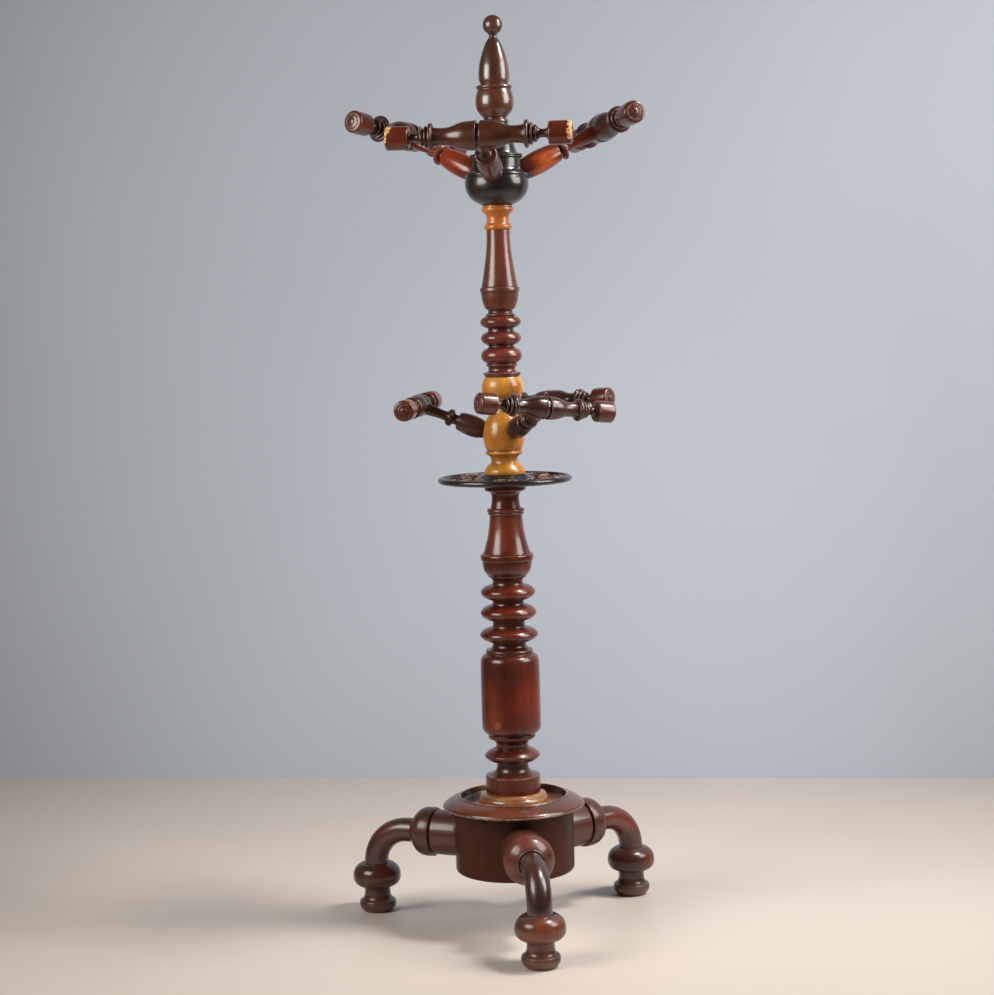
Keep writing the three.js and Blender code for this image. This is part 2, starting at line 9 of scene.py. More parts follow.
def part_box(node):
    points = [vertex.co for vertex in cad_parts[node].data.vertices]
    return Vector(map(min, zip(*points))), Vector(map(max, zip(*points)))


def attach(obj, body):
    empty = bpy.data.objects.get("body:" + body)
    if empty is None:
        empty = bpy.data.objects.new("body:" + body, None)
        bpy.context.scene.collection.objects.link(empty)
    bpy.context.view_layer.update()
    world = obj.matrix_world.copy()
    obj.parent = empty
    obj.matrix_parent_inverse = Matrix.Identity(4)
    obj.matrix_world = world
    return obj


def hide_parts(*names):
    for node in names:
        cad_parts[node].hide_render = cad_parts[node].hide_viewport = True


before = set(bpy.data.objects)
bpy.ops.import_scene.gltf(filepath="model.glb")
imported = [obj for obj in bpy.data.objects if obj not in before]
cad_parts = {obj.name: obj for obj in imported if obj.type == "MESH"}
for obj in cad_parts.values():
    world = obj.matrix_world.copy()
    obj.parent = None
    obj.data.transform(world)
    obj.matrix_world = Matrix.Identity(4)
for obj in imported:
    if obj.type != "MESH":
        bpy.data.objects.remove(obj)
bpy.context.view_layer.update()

MM = 0.001
WELD = 0.00001                  # metres: points nearer than this become one
SMOOTH_ANGLE = math.radians(32)

# Facets round a piece
SIDES = 96                      # the column, the drum and its lid
BASE_SIDES = 80                 # feet and sockets
LEG_SIDES = 48
DISC_SIDES = 128
HOLE_SIDES = 64                 # the disc's holes and their rings
BAR_SIDES = 72
SPOKE_SIDES = 64

# Where the pieces stand, in millimetres, as in the part's own source
FIT = 0.3                       # gap where one piece seats on the next
LEG_AZIMUTHS = {"front": -82, "right": 38, "left": 158}
LEG_SPREAD = 328.7
LEG_RADIUS = 26
LEG_BEND = 76                   # radius that the bar is bent to
FOOT_HEIGHT = 108
LEG_AXIS = FOOT_HEIGHT + FIT + LEG_BEND
SOCKET_START = 116.3            # column's axis to the end that sits in the drum
STICK_HOLE_PITCH = 97           # column's axis to a hole's
STICK_HOLES = 8
UPPER_CENTRE = 1572.0           # height where a tier's spokes meet the axis
LOWER_CENTRE = 1041.6
# each arm's azimuth, rise and twist, in degrees
UPPER_ARMS = {
    "front": (-97.5, 17.5, 0),
    "right": (20.5, 25.5, -6),
    "left": (140.5, 25, 8),
}
LOWER_ARMS = {
    "front": (-61.5, 20.5, -6.5),
    "right": (54.5, 20.5, -3),
    "left": (171, 21.5, -1.5),
}
UPPER_REACH = 271               # column's axis to the bar's, along the spoke
LOWER_REACH = 194


def low(node):
    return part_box(node)[0][2] / MM


def high(node):
    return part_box(node)[1][2] / MM


# Turning: half a section is drawn from the bottom up and spun round the axis

BLUNT_TURN = math.radians(22)   # a corner that turns less is left as it is
LONGEST_RUN = 3.5               # a longer straight run is divided
SAME_POINT = 0.02
LEAST_BEVEL = 0.05
ON_AXIS = 0.01
BEVEL_ROOM = 0.45               # share of the shorter side that a bevel may take

# How far along the outline an arris or a hollow is felt, and how far round a point is compared
ARRIS_REACH = 2.2
HOLLOW_REACH = 5
DEPTH_REACH = 22
# The turns and depths that count: where an arris starts and how soon it is full, and the same
# for how tight and how deep a hollow is
ARRIS_START = 0.35
ARRIS_SPAN = 0.9
HOLLOW_SPAN = 1.6
DEPTH_START = 4
DEPTH_SPAN = 60


class Section:
    """The half section of a turned piece, as (radius, height) in millimetres."""

    def __init__(self, radius, height=0.0):
        self.points = [(radius, height)]

    def cut(self, *corners):
        """Straight cuts from corner to corner."""
        self.points += corners
        return self

    def quarter(self, radius, height, rounded, steps=9):
        r0, z0 = self.points[-1]
        sideways = (radius > r0) == rounded
        if height < z0:
            sideways = not sideways
        for i in range(1, steps + 1):
            a = math.pi / 2 * i / steps
            fast, slow = math.sin(a), 1 - math.cos(a)
            across, along = (fast, slow) if sideways else (slow, fast)
            self.points.append((r0 + (radius - r0) * across, z0 + (height - z0) * along))
        return self

    def round(self, radius, height, steps=9):
        """A quarter of an ellipse, as an ovolo."""
        return self.quarter(radius, height, True, steps)

    def hollow(self, radius, height, steps=9):
        """A quarter of an ellipse, as a cove."""
        return self.quarter(radius, height, False, steps)

    def bead(self, radius, height, fullness=1.0, steps=18):
        """Half an ellipse out to a radius and back."""
        r0, z0 = self.points[-1]
        for i in range(1, steps + 1):
            a = math.pi * i / steps
            out = math.sin(a) ** fullness if i < steps else 0
            self.points.append((r0 + (radius - r0) * out,
                                z0 + (height - z0) * (1 - math.cos(a)) / 2))
        return self

    def flow(self, *knots, steps=6):
        """A smooth curve through the knots."""
        line = [Vector(p) for p in (self.points[-1], *knots)]
        line = [2 * line[0] - line[1], *line, 2 * line[-1] - line[-2]]
        for a, b, c, d in zip(line, line[1:], line[2:], line[3:]):
            before, here, after = (math.sqrt((q - p).length) for p, q in ((a, b), (b, c), (c, d)))
            leave = ((b - a) / before - (c - a) / (before + here)) * here + c - b
            arrive = ((d - c) / after - (d - b) / (here + after)) * here + c - b
            for i in range(1, steps + 1):
                t = i / steps
                p = (b * (2 * t ** 3 - 3 * t ** 2 + 1) + leave * (t ** 3 - 2 * t ** 2 + t)
                     + c * (3 * t ** 2 - 2 * t ** 3) + arrive * (t ** 3 - t ** 2))
                self.points.append((p.x, p.y))
        return self

    def soft(self, bevel):
        """The outline with its arrises eased and its long runs divided."""
        pts = [Vector(p) for p in self.points]
        pts = [p for i, p in enumerate(pts) if i == 0 or (p - pts[i - 1]).length > SAME_POINT]
        eased = [pts[0]]
        for a, b, c in zip(pts, pts[1:], pts[2:]):
            before, after = b - a, c - b
            turn = before.angle(after, 0)
            room = min(before.length, after.length) * BEVEL_ROOM
            if turn < BLUNT_TURN or b.x < ON_AXIS or room < LEAST_BEVEL:
                eased.append(b)
                continue
            reach = min(bevel, room)
            start, end = b - before.normalized() * reach, b + after.normalized() * reach
            eased += [start, start * 0.25 + b * 0.5 + end * 0.25, end]
        eased.append(pts[-1])
        fine = [eased[0]]
        for p in eased[1:]:
            run = (p - fine[-1]).length
            parts = max(1, math.ceil(run / LONGEST_RUN))
            start = fine[-1].copy()
            fine += [start.lerp(p, i / parts) for i in range(1, parts + 1)]
        return fine


def relief(points):
    """How far each point of an outline stands out as an arris and lies in a hollow, 0 to 1."""
    n = len(points)
    turns = [0.0] * n
    for i in range(1, n - 1):
        d1, d2 = points[i] - points[i - 1], points[i + 1] - points[i]
        if d1.length and d2.length:
            turns[i] = math.atan2(d1.x * d2.y - d1.y * d2.x, d1.dot(d2))
    along = [0.0]
    for a, b in zip(points, points[1:]):
        along.append(along[-1] + (b - a).length)
    arris, hollow = [], []
    for i in range(n):
        gaps = [abs(s - along[i]) for s in along]
        sharp = sum(max(t, 0) * max(0, 1 - gap / ARRIS_REACH) for t, gap in zip(turns, gaps))
        sunk = sum(max(-t, 0) * max(0, 1 - gap / HOLLOW_REACH) for t, gap in zip(turns, gaps))
        # a point sunk below the outline near it counts as hollow; the finish uses this to paint
        # deep grooves darker as shade
        depth = max(p.x for p, gap in zip(points, gaps) if gap < DEPTH_REACH) - points[i].x
        arris.append(min(1, max(0, sharp - ARRIS_START) / ARRIS_SPAN))
        hollow.append(min(1, sunk / HOLLOW_SPAN + max(0, depth - DEPTH_START) / DEPTH_SPAN))
    return arris, hollow


def only(thing):
    bpy.ops.object.select_all(action="DESELECT")
    thing.select_set(True)
    bpy.context.view_layer.objects.active = thing


def turn(name, section, sides=SIDES, bevel=0.5):
    """Spins a half section into a turned piece that stands on the origin."""
    bpy.ops.object.select_all(action="DESELECT")
    outline = section.soft(bevel)
    bpy.ops.mesh.primitive_plane_add(size=MM, location=(0, 0, 0))
    piece = bpy.context.object
    piece.name = name
    bpy.ops.object.mode_set(mode="EDIT")
    bpy.ops.mesh.select_all(action="SELECT")
    bpy.ops.mesh.merge(type="CENTER")
    bpy.ops.transform.translate(value=(outline[0].x * MM, 0, outline[0].y * MM))
    for a, b in zip(outline, outline[1:]):
        step = (b - a) * MM
        bpy.ops.mesh.extrude_region_move(TRANSFORM_OT_translate={"value": (step.x, 0, step.y)})
    bpy.ops.object.mode_set(mode="OBJECT")
    # arris: where the edges are rubbed; hollow: where dirt and painted shade darken the finish
    for label, values in zip(("arris", "hollow"), relief(outline)):
        layer = piece.data.attributes.new(label, "FLOAT", "POINT")
        layer.data.foreach_set("value", values)
    bpy.ops.object.mode_set(mode="EDIT")
    bpy.ops.mesh.select_all(action="SELECT")
    bpy.ops.mesh.spin(steps=sides, angle=math.tau, center=(0, 0, 0), axis=(0, 0, 1))
    bpy.ops.mesh.select_all(action="SELECT")
    bpy.ops.mesh.remove_doubles(threshold=WELD)
    bpy.ops.mesh.normals_make_consistent(inside=False)
    bpy.ops.object.mode_set(mode="OBJECT")
    return piece


GRAIN_STEP = (0.371, 0.217, 0.533)
blanks = iter(range(1, 500))


def grain(piece, along=None):
    """Stores where each point lies in the blank it was turned from, with the fibres along Z."""
    blank = next(blanks)
    shift = Vector([blank * step for step in GRAIN_STEP])
    layer = piece.data.attributes.new("grain", "FLOAT_VECTOR", "POINT")
    for v, value in zip(piece.data.vertices, layer.data):
        value.vector = (along(v.co) if along else v.co) + shift


def settle(piece, body, slot, finish, *nodes, place=None):
    """Puts a piece in its place and finish, on its body, over the CAD nodes it stands for."""
    only(piece)
    if place is not None:
        piece.matrix_world = place
        bpy.ops.object.transform_apply(location=True, rotation=True, scale=True)
    bpy.ops.object.shade_smooth_by_angle(angle=SMOOTH_ANGLE)
    piece.data.materials.clear()
    piece.data.materials.append(finish)
    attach(piece, body)
    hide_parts(*nodes)
    return piece


def copy_of(piece, name):
    twin = piece.copy()
    twin.data = piece.data.copy()
    twin.name = name
    bpy.context.scene.collection.objects.link(twin)
    return twin


def at_height(height):
    return Matrix.Translation((0, 0, height * MM))


# Finishes


class Finish:
    """A material, with short calls for its nodes."""

    def __init__(self, name):
        self.material = bpy.data.materials.new(name)
        self.material.use_nodes = True
        self.tree = self.material.node_tree
        self.surface = self.tree.nodes["Principled BSDF"]

    def node(self, kind, inputs=(), **settings):
        made = self.tree.nodes.new(kind)
        for key, value in settings.items():
            setattr(made, key, value)
        for key, value in dict(inputs).items():
            self.put(made.inputs[key], value)
        return made

    def put(self, socket, value):
        if isinstance(value, bpy.types.NodeSocket):
            self.tree.links.new(value, socket)
        else:
            socket.default_value = value

    def attribute(self, name, output="Fac"):
        return self.node("ShaderNodeAttribute", attribute_name=name).outputs[output]

    def noise(self, vector, scale, stretch=(1, 1, 1), detail=3, roughness=0.55, distortion=0.0):
        spread = self.node("ShaderNodeMapping", {"Vector": vector, "Scale": stretch})
        field = self.node("ShaderNodeTexNoise", {
            "Vector": spread.outputs["Vector"], "Scale": scale, "Detail": detail,
            "Roughness": roughness, "Distortion": distortion})
        return field.outputs["Fac"]

    def math(self, operation, a, b=0.0, clamp=False):
        made = self.node("ShaderNodeMath", operation=operation, use_clamp=clamp)
        self.put(made.inputs[0], a)
        self.put(made.inputs[1], b)
        return made.outputs[0]

    def span(self, value, low_in, high_in, low_out=0.0, high_out=1.0):
        made = self.node("ShaderNodeMapRange", {
            "Value": value, "From Min": low_in, "From Max": high_in,
            "To Min": low_out, "To Max": high_out})
        return made.outputs["Result"]

    def ramp(self, value, stops):
        made = self.node("ShaderNodeValToRGB", {"Fac": value})
        points = made.color_ramp.elements
        while len(points) < len(stops):
            points.new(0.5)
        for point, (place, colour) in zip(points, stops):
            point.position = place
            point.color = (*colour, 1)
        return made.outputs["Color"]

    def mix(self, factor, a, b):
        made = self.node("ShaderNodeMix", data_type="RGBA")
        self.put(made.inputs[0], factor)
        for socket, value in ((made.inputs[6], a), (made.inputs[7], b)):
            self.put(socket, (*value, 1) if isinstance(value, tuple) else value)
        return made.outputs[2]

    def bump(self, height, strength, distance):
        made = self.node("ShaderNodeBump", {
            "Height": height, "Strength": strength, "Distance": distance})
        return made.outputs["Normal"]


def spread(f, place, centre, reach, ragged):
    """How far off a point is: 0 there, and about 1 with a ragged edge at its reach. The point
    and the reach are in millimetres."""
    gap = f.node("ShaderNodeVectorMath", operation="DISTANCE")
    f.put(gap.inputs[0], place)
    gap.inputs[1].default_value = tuple(c * MM for c in centre)
    return f.math("ADD", f.math("DIVIDE", gap.outputs["Value"], reach * MM), ragged)


COAT_ROUGHNESS = 0.12


def varnished(name, tones, dirt_and_shade, bare, worn=0.5, gloss=(0.22, 0.33), coat=0.35, sheen=0.42,
              figure=0.6, patches=(), ends=None, chips=()):
    """Turned wood under varnish: streaks and pores along the fibres, hollows darkened by dirt and
    by painted shade, and rubbed arrises.

    A patch is a point of the rack, its reach, its colour and how far it tints the wood. The
    ends are the tones of a peg's knobs. A chip is a point of the peg's blank and its reach."""
    f = Finish(name)
    grain_at = f.attribute("grain", "Vector")
    streaks = f.noise(grain_at, 1.0, (55, 55, 5), detail=5, roughness=0.6, distortion=0.6)
    fibres = f.noise(grain_at, 1.0, (420, 420, 26), detail=3)
    clouds = f.noise(grain_at, 15.0, (1, 1, 0.7), detail=4, roughness=0.6)
    pores = f.noise(grain_at, 1.0, (1100, 1100, 70), detail=2)
    tone = f.math("ADD", f.math("MULTIPLY", streaks, 0.5 * figure),
                  f.math("MULTIPLY", fibres, 0.16 * figure))
    tone = f.math("ADD", tone, f.math("MULTIPLY", clouds, 0.9 - 0.4 * figure))
    middle = 0.45 + 0.13 * figure
    tone = f.span(tone, middle - 0.2, middle + 0.24)
    colour = f.ramp(tone, tones)
    if ends:
        colour = f.mix(f.attribute("knob"), colour, f.ramp(tone, ends))
    place = f.node("ShaderNodeTexCoord").outputs["Object"]
    ragged = f.noise(grain_at, 42.0, (1, 1, 0.5), detail=4, roughness=0.6)
    for centre, reach, tint, amount in patches:
        edge = f.math("MULTIPLY", f.math("SUBTRACT", ragged, 0.5), 1.8)
        near = spread(f, place, centre, reach, edge)
        shade = f.mix(f.span(streaks, 0.3, 0.7),
                      tuple(0.78 * c for c in tint), tuple(1.2 * c for c in tint))
        colour = f.mix(f.span(near, 1.15, 0.55, 0, amount), colour, shade)
    pore = f.span(pores, 0.6, 0.72, 0, 0.45 * figure)
    colour = f.mix(pore, colour, dirt_and_shade)
    # the hollows are darkened: partly dirt and old varnish, partly painted shade in the deep
    # grooves
    patchy = f.noise(grain_at, 60.0, detail=4, roughness=0.65)
    grime_and_shade = f.math("MULTIPLY", f.attribute("hollow"), f.span(patchy, 0.25, 0.7, 0.45, 0.9),
                   clamp=True)
    colour = f.mix(grime_and_shade, colour, dirt_and_shade)
    # the arrises are rubbed through to a paler wood
    scuffs = f.noise(grain_at, 150.0, (1, 1, 0.5), detail=5, roughness=0.7)
    rubbed = f.math("MULTIPLY", f.attribute("arris"), f.span(scuffs, 0.4, 0.64, 0, worn),
                    clamp=True)
    colour = f.mix(rubbed, colour, bare)
    rough = f.math("ADD", f.span(clouds, 0.3, 0.7, *gloss), f.math("MULTIPLY", grime_and_shade, 0.1))
    height = f.math("SUBTRACT", f.math("MULTIPLY", fibres, 0.3), f.math("MULTIPLY", pore, 0.8))
    if chips:
        # where the varnish is chipped off, raw wood shows and lies deeper
        blank = f.attribute("blank", "Vector")
        torn = f.math("MULTIPLY", f.noise(
            grain_at, 1.0, (300, 300, 110), detail=5, roughness=0.7), 1.5)
        loss = None
        for centre, reach in chips:
            spot = f.span(spread(f, blank, centre, reach, torn), 1.62, 1.7, 1, 0)
            loss = spot if loss is None else f.math("MAXIMUM", loss, spot)
        raw = f.ramp(f.noise(grain_at, 1.0, (380, 380, 70), detail=4), [
            (0.34, (0.24, 0.09, 0.025)), (0.46, (0.6, 0.33, 0.1)), (0.62, (0.84, 0.62, 0.3))])
        colour = f.mix(loss, colour, raw)
        rough = f.math("MAXIMUM", rough, f.math("MULTIPLY", loss, 0.75))
        height = f.math("SUBTRACT", height, f.math("MULTIPLY", loss, 3))
    waves = f.noise(grain_at, 1.0, (9, 9, 160), detail=2)
    height = f.math("ADD", height, f.math("MULTIPLY", waves, 0.5))
    f.put(f.surface.inputs["Base Color"], colour)
    f.put(f.surface.inputs["Roughness"], rough)
    f.put(f.surface.inputs["Normal"], f.bump(height, 0.35, 0.0004))
    f.surface.inputs["Coat Weight"].default_value = coat
    f.surface.inputs["Coat Roughness"].default_value = COAT_ROUGHNESS
    f.surface.inputs["Specular IOR Level"].default_value = sheen
    return f.material


def shades(dark, middle, light):
    return [(0.0, dark), (0.5, middle), (1.0, light)]


CHESTNUT = shades((0.03, 0.0095, 0.006), (0.064, 0.018, 0.01), (0.12, 0.038, 0.022))
KNOB_RED = shades((0.07, 0.012, 0.006), (0.125, 0.021, 0.009), (0.21, 0.046, 0.018))
# colour of the pores, and of the dirt and painted shade in the hollows
DARK_DIRT_AND_SHADE = (0.014, 0.0048, 0.003)
PALE = (0.34, 0.17, 0.1)

chestnut = varnished(
    "chestnut", CHESTNUT,
    dirt_and_shade=DARK_DIRT_AND_SHADE, bare=PALE, worn=0.55,
    ends=KNOB_RED)
chipped = varnished(
    "chipped_chestnut", CHESTNUT,
    dirt_and_shade=DARK_DIRT_AND_SHADE, bare=PALE, worn=0.45,
    ends=KNOB_RED,
    chips=[
        ((18, -14, -183), 12), ((12, -19, -181), 10), ((22, -6, -184), 9), ((23, 8, -186), 6),
        ((20, 14, -186), 5), ((14, -18, 184), 8), ((21, -8, 185), 9), ((22, 6, 184), 9),
        ((17, 15, 184), 8)])
plum = varnished(
    "plum_brown", shades((0.022, 0.0075, 0.0055), (0.046, 0.014, 0.01), (0.09, 0.03, 0.021)),
    dirt_and_shade=DARK_DIRT_AND_SHADE, bare=(0.42, 0.25, 0.2), worn=0.8,
    ends=shades((0.05, 0.0095, 0.0065), (0.09, 0.0165, 0.0105), (0.15, 0.036, 0.022)))
spoke_red = varnished(
    "spoke_red", shades((0.06, 0.0095, 0.005), (0.13, 0.019, 0.009), (0.24, 0.044, 0.018)),
    dirt_and_shade=(0.025, 0.005, 0.0035), bare=(0.5, 0.24, 0.15), worn=0.5,
    patches=[
        ((-100, 82, 1625), 90, (0.24, 0.034, 0.013), 0.85),
        ((108, 30, 1606), 36, (0.44, 0.08, 0.015), 0.9),
        ((60, 18, 1598), 20, (0.06, 0.014, 0.008), 0.8),
        ((-60, 45, 1600), 26, (0.07, 0.015, 0.009), 0.8)])
spindle_red = varnished(
    "spindle_red", shades((0.046, 0.0065, 0.003), (0.098, 0.0125, 0.004), (0.19, 0.036, 0.012)),
    dirt_and_shade=(0.026, 0.007, 0.0038), bare=(0.4, 0.22, 0.14), worn=0.7, sheen=0.4,
    patches=[
        ((-14, -60, 574), 62, (0.046, 0.014, 0.009), 0.6),
        ((44, -44, 490), 46, (0.19, 0.017, 0.005), 0.6),
        ((-30, -55, 437), 8, (0.38, 0.13, 0.045), 0.8),
        ((0, -36, 328), 30, (0.06, 0.03, 0.021), 0.7),
        ((-36, -50, 452), 22, (0.2, 0.04, 0.012), 0.5),
        ((0, -50, 776), 44, (0.055, 0.012, 0.006), 0.6),
        ((0, -50, 390), 34, (0.06, 0.015, 0.009), 0.6),
        ((0, -36, 850), 60, (0.2, 0.04, 0.017), 0.5)])
column_brown = varnished(
    "column_brown", shades((0.05, 0.015, 0.009), (0.1, 0.03, 0.018), (0.18, 0.066, 0.042)),
    dirt_and_shade=(0.02, 0.006, 0.004), bare=PALE, worn=0.55,
    patches=[
        ((0, -40, 1215), 60, (0.15, 0.022, 0.012), 0.7),
        ((0, -40, 1290), 50, (0.14, 0.024, 0.013), 0.6),
        ((24, -24, 1440), 60, (0.17, 0.04, 0.018), 0.5)])
finial_brown = varnished(
    "finial_brown", shades((0.03, 0.0105, 0.0062), (0.066, 0.0225, 0.0132), (0.14, 0.055, 0.034)),
    dirt_and_shade=DARK_DIRT_AND_SHADE, bare=PALE, worn=0.5, gloss=(0.26, 0.34), coat=0.6, sheen=0.6,
    patches=[
        ((0, -38, 1738), 54, (0.12, 0.036, 0.017), 0.65)])
drum_brown = varnished(
    "drum_brown", shades((0.026, 0.0085, 0.005), (0.05, 0.016, 0.0088), (0.09, 0.027, 0.014)),
    dirt_and_shade=(0.009, 0.004, 0.003), bare=(0.36, 0.2, 0.13), worn=0.7, gloss=(0.34, 0.46), coat=0.03,
    sheen=0.14, figure=0.35,
    patches=[
        ((-80, -98, 160), 60, (0.07, 0.012, 0.006), 0.6),
        ((90, -90, 170), 50, (0.065, 0.015, 0.008), 0.6),
        ((-10, -126, 236), 40, (0.028, 0.009, 0.006), 0.6)])
lid_brown = varnished(
    "lid_brown", shades((0.055, 0.0145, 0.007), (0.12, 0.031, 0.013), (0.21, 0.064, 0.03)),
    dirt_and_shade=(0.018, 0.006, 0.0035), bare=(0.46, 0.28, 0.19), worn=0.75, gloss=(0.24, 0.34), coat=0.5,
    figure=0.4,
    patches=[
        ((80, 30, 262), 55, (0.2, 0.08, 0.042), 0.8),
        ((-90, 40, 262), 50, (0.03, 0.011, 0.007), 0.8),
        ((-110, -60, 262), 60, (0.095, 0.022, 0.011), 0.6)])
socket_brown = varnished(
    "socket_brown", shades((0.046, 0.0145, 0.0095), (0.088, 0.0275, 0.0175), (0.15, 0.054, 0.037)),
    dirt_and_shade=(0.014, 0.005, 0.0035), bare=PALE, worn=0.55, gloss=(0.3, 0.42), figure=0.45,
    patches=[
        ((24, -225, 190), 62, (0.15, 0.03, 0.017), 0.7),
        ((-190, 90, 170), 46, (0.11, 0.024, 0.015), 0.6),
        ((190, 130, 170), 46, (0.12, 0.03, 0.018), 0.5)])
leg_brown = varnished(
    "leg_brown", shades((0.02, 0.0085, 0.0065), (0.046, 0.0165, 0.0115), (0.1, 0.031, 0.0195)),
    dirt_and_shade=(0.011, 0.005, 0.004), bare=(0.5, 0.33, 0.26), worn=0.6, gloss=(0.26, 0.36), coat=0.45,
    sheen=0.55,
    patches=[
        ((232, 178, 190), 56, (0.15, 0.024, 0.013), 0.85),
        ((-270, 110, 180), 46, (0.11, 0.018, 0.01), 0.75),
        ((-296, 120, 150), 24, (0.1, 0.018, 0.01), 0.6),
        ((40, -290, 196), 40, (0.07, 0.02, 0.013), 0.5)])
foot_brown = varnished(
    "foot_brown", shades((0.024, 0.0095, 0.007), (0.058, 0.021, 0.014), (0.12, 0.046, 0.03)),
    dirt_and_shade=(0.012, 0.0055, 0.004), bare=(0.5, 0.34, 0.27), worn=0.75,
    patches=[
        ((44, -372, 80), 52, (0.2, 0.055, 0.024), 0.85),
        ((20, -360, 104), 26, (0.06, 0.03, 0.022), 0.7),
        ((306, 160, 86), 30, (0.13, 0.022, 0.012), 0.75),
        ((-296, 92, 84), 34, (0.1, 0.02, 0.012), 0.7),
        ((44, -366, 12), 40, (0.17, 0.075, 0.055), 0.7),
        ((259, 172, 12), 40, (0.17, 0.09, 0.07), 0.6),
        ((-304, 92, 12), 40, (0.15, 0.055, 0.04), 0.6)])
amber = varnished(
    "amber", shades((0.25, 0.085, 0.013), (0.52, 0.22, 0.03), (0.7, 0.37, 0.08)),
    dirt_and_shade=(0.13, 0.038, 0.008), bare=(0.72, 0.46, 0.18), worn=0.3, gloss=(0.24, 0.36), figure=0.6,
    patches=[
        ((26, -34, 1152), 20, (0.27, 0.085, 0.014), 0.75),
        ((-20, -38, 1046), 22, (0.4, 0.125, 0.016), 0.65),
        ((30, -30, 1020), 22, (0.5, 0.16, 0.016), 0.6),
        ((-36, -20, 1136), 22, (0.48, 0.155, 0.02), 0.6)])
burnt_orange = varnished(
    "burnt_orange", shades((0.25, 0.06, 0.009), (0.46, 0.135, 0.014), (0.6, 0.21, 0.034)),
    dirt_and_shade=(0.12, 0.03, 0.006), bare=(0.66, 0.36, 0.12), worn=0.4, gloss=(0.26, 0.36), figure=0.5)
moulding_tan = varnished(
    "moulding_tan", shades((0.16, 0.056, 0.02), (0.34, 0.15, 0.058), (0.48, 0.25, 0.11)),
    dirt_and_shade=(0.08, 0.03, 0.013), bare=(0.6, 0.38, 0.2), worn=0.5, coat=0.5, figure=0.4,
    patches=[
        ((-50, -50, 266), 40, (0.16, 0.045, 0.014), 0.75),
        ((8, -72, 262), 26, (0.24, 0.066, 0.022), 0.6),
        ((50, -50, 275), 30, (0.42, 0.21, 0.06), 0.6)])
ebonised = varnished(
    "ebonised", shades((0.01, 0.009, 0.0078), (0.017, 0.0145, 0.0122), (0.03, 0.025, 0.0195)),
    dirt_and_shade=(0.006, 0.005, 0.0045), bare=(0.14, 0.09, 0.06), worn=0.35, gloss=(0.22, 0.3), coat=0.4,
    figure=0.4)


def steel():
    f = Finish("old_steel")
    place = f.node("ShaderNodeTexCoord").outputs["Object"]
    scratches = f.noise(place, 1.0, (900, 900, 120), detail=4)
    spots = f.noise(place, 320.0, detail=4)
    colour = f.mix(f.span(spots, 0.5, 0.7), (0.42, 0.41, 0.39), (0.16, 0.1, 0.07))
    f.put(f.surface.inputs["Base Color"], colour)
    f.surface.inputs["Metallic"].default_value = 1.0
    f.put(f.surface.inputs["Roughness"], f.span(scratches, 0.3, 0.7, 0.3, 0.55))
    f.put(f.surface.inputs["Normal"], f.bump(scratches, 0.3, 0.0002))
    return f.material


# Feet, legs and their sockets

LEG_BEND_STEPS = 26
LEG_IN_FOOT = 3                 # how far the bar goes on into the foot
LEG_IN_SOCKET = 20              # and from the bend into the socket


def foot():
    section = Section(0).cut((29.5, 0)).round(33, 2.4, 5)
    section.flow((37.4, 7.6), (40, 13.4), (40.4, 18.4), (39, 22.6)).round(35.8, 25.4, 6)
    section.flow((31.4, 29.6), (29, 35.6), (28.2, 42.6), (28.4, 49), (30.2, 53.4))
    section.flow((38, 56.2), (46.5, 61.8), (51, 69.2), (52.4, 78.6), (51, 88), (46.5, 97),
                 (38, 104.5), (31, 107.6))
    return turn("foot", section.cut((27.4, FOOT_HEIGHT), (0, FOOT_HEIGHT)), sides=BASE_SIDES)


def leg():
    """A round bar bent a quarter turn from the foot to the socket, and where its fibres run."""
    bpy.ops.object.select_all(action="DESELECT")
    bottom = (LEG_SPREAD * MM, 0, (FOOT_HEIGHT - LEG_IN_FOOT) * MM)
    bpy.ops.mesh.primitive_circle_add(
        vertices=LEG_SIDES, radius=LEG_RADIUS * MM, location=bottom, fill_type="NGON")
    piece = bpy.context.object
    only(piece)
    bpy.ops.object.transform_apply(location=True, rotation=True, scale=True)
    bpy.ops.object.mode_set(mode="EDIT")
    bpy.ops.mesh.select_all(action="SELECT")
    straight = (LEG_AXIS - LEG_BEND - FOOT_HEIGHT + LEG_IN_FOOT) * MM
    bpy.ops.mesh.extrude_region_move(TRANSFORM_OT_translate={"value": (0, 0, straight)})
    centre = ((LEG_SPREAD - LEG_BEND) * MM, 0, (LEG_AXIS - LEG_BEND) * MM)
    bpy.ops.mesh.spin(steps=LEG_BEND_STEPS, angle=math.pi / 2, center=centre, axis=(0, 1, 0))
    bpy.ops.mesh.extrude_region_move(
        TRANSFORM_OT_translate={"value": (-LEG_IN_SOCKET * MM, 0, 0)})
    bpy.ops.mesh.select_all(action="SELECT")
    bpy.ops.mesh.remove_doubles(threshold=WELD)
    bpy.ops.mesh.normals_make_consistent(inside=False)
    bpy.ops.object.mode_set(mode="OBJECT")
    hub = Vector(centre)

    def along(co):
        if co.x < hub.x:
            bend = LEG_BEND * MM * math.pi / 2
            return Vector((co.z - LEG_AXIS * MM, co.y, hub.x - co.x + bend))
        if co.z < hub.z:
            return Vector((co.x - LEG_SPREAD * MM, co.y, co.z - hub.z))
        out = Vector((co.x - hub.x, 0, co.z - hub.z))
        return Vector((out.length - LEG_BEND * MM, co.y, math.atan2(out.z, out.x) * LEG_BEND * MM))

    # worn where the bar meets the foot, and darkened there by dirt and by painted shade
    for label, strength, depth in (("arris", 0.7, 0.003), ("hollow", 0.3, 0.007)):
        layer = piece.data.attributes.new(label, "FLOAT", "POINT")
        for v, value in zip(piece.data.vertices, layer.data):
            fade = max(0, 1 - abs(v.co.z - FOOT_HEIGHT * MM) / depth)
            value.value = strength * fade if v.co.x > hub.x else 0.0
    return piece, along


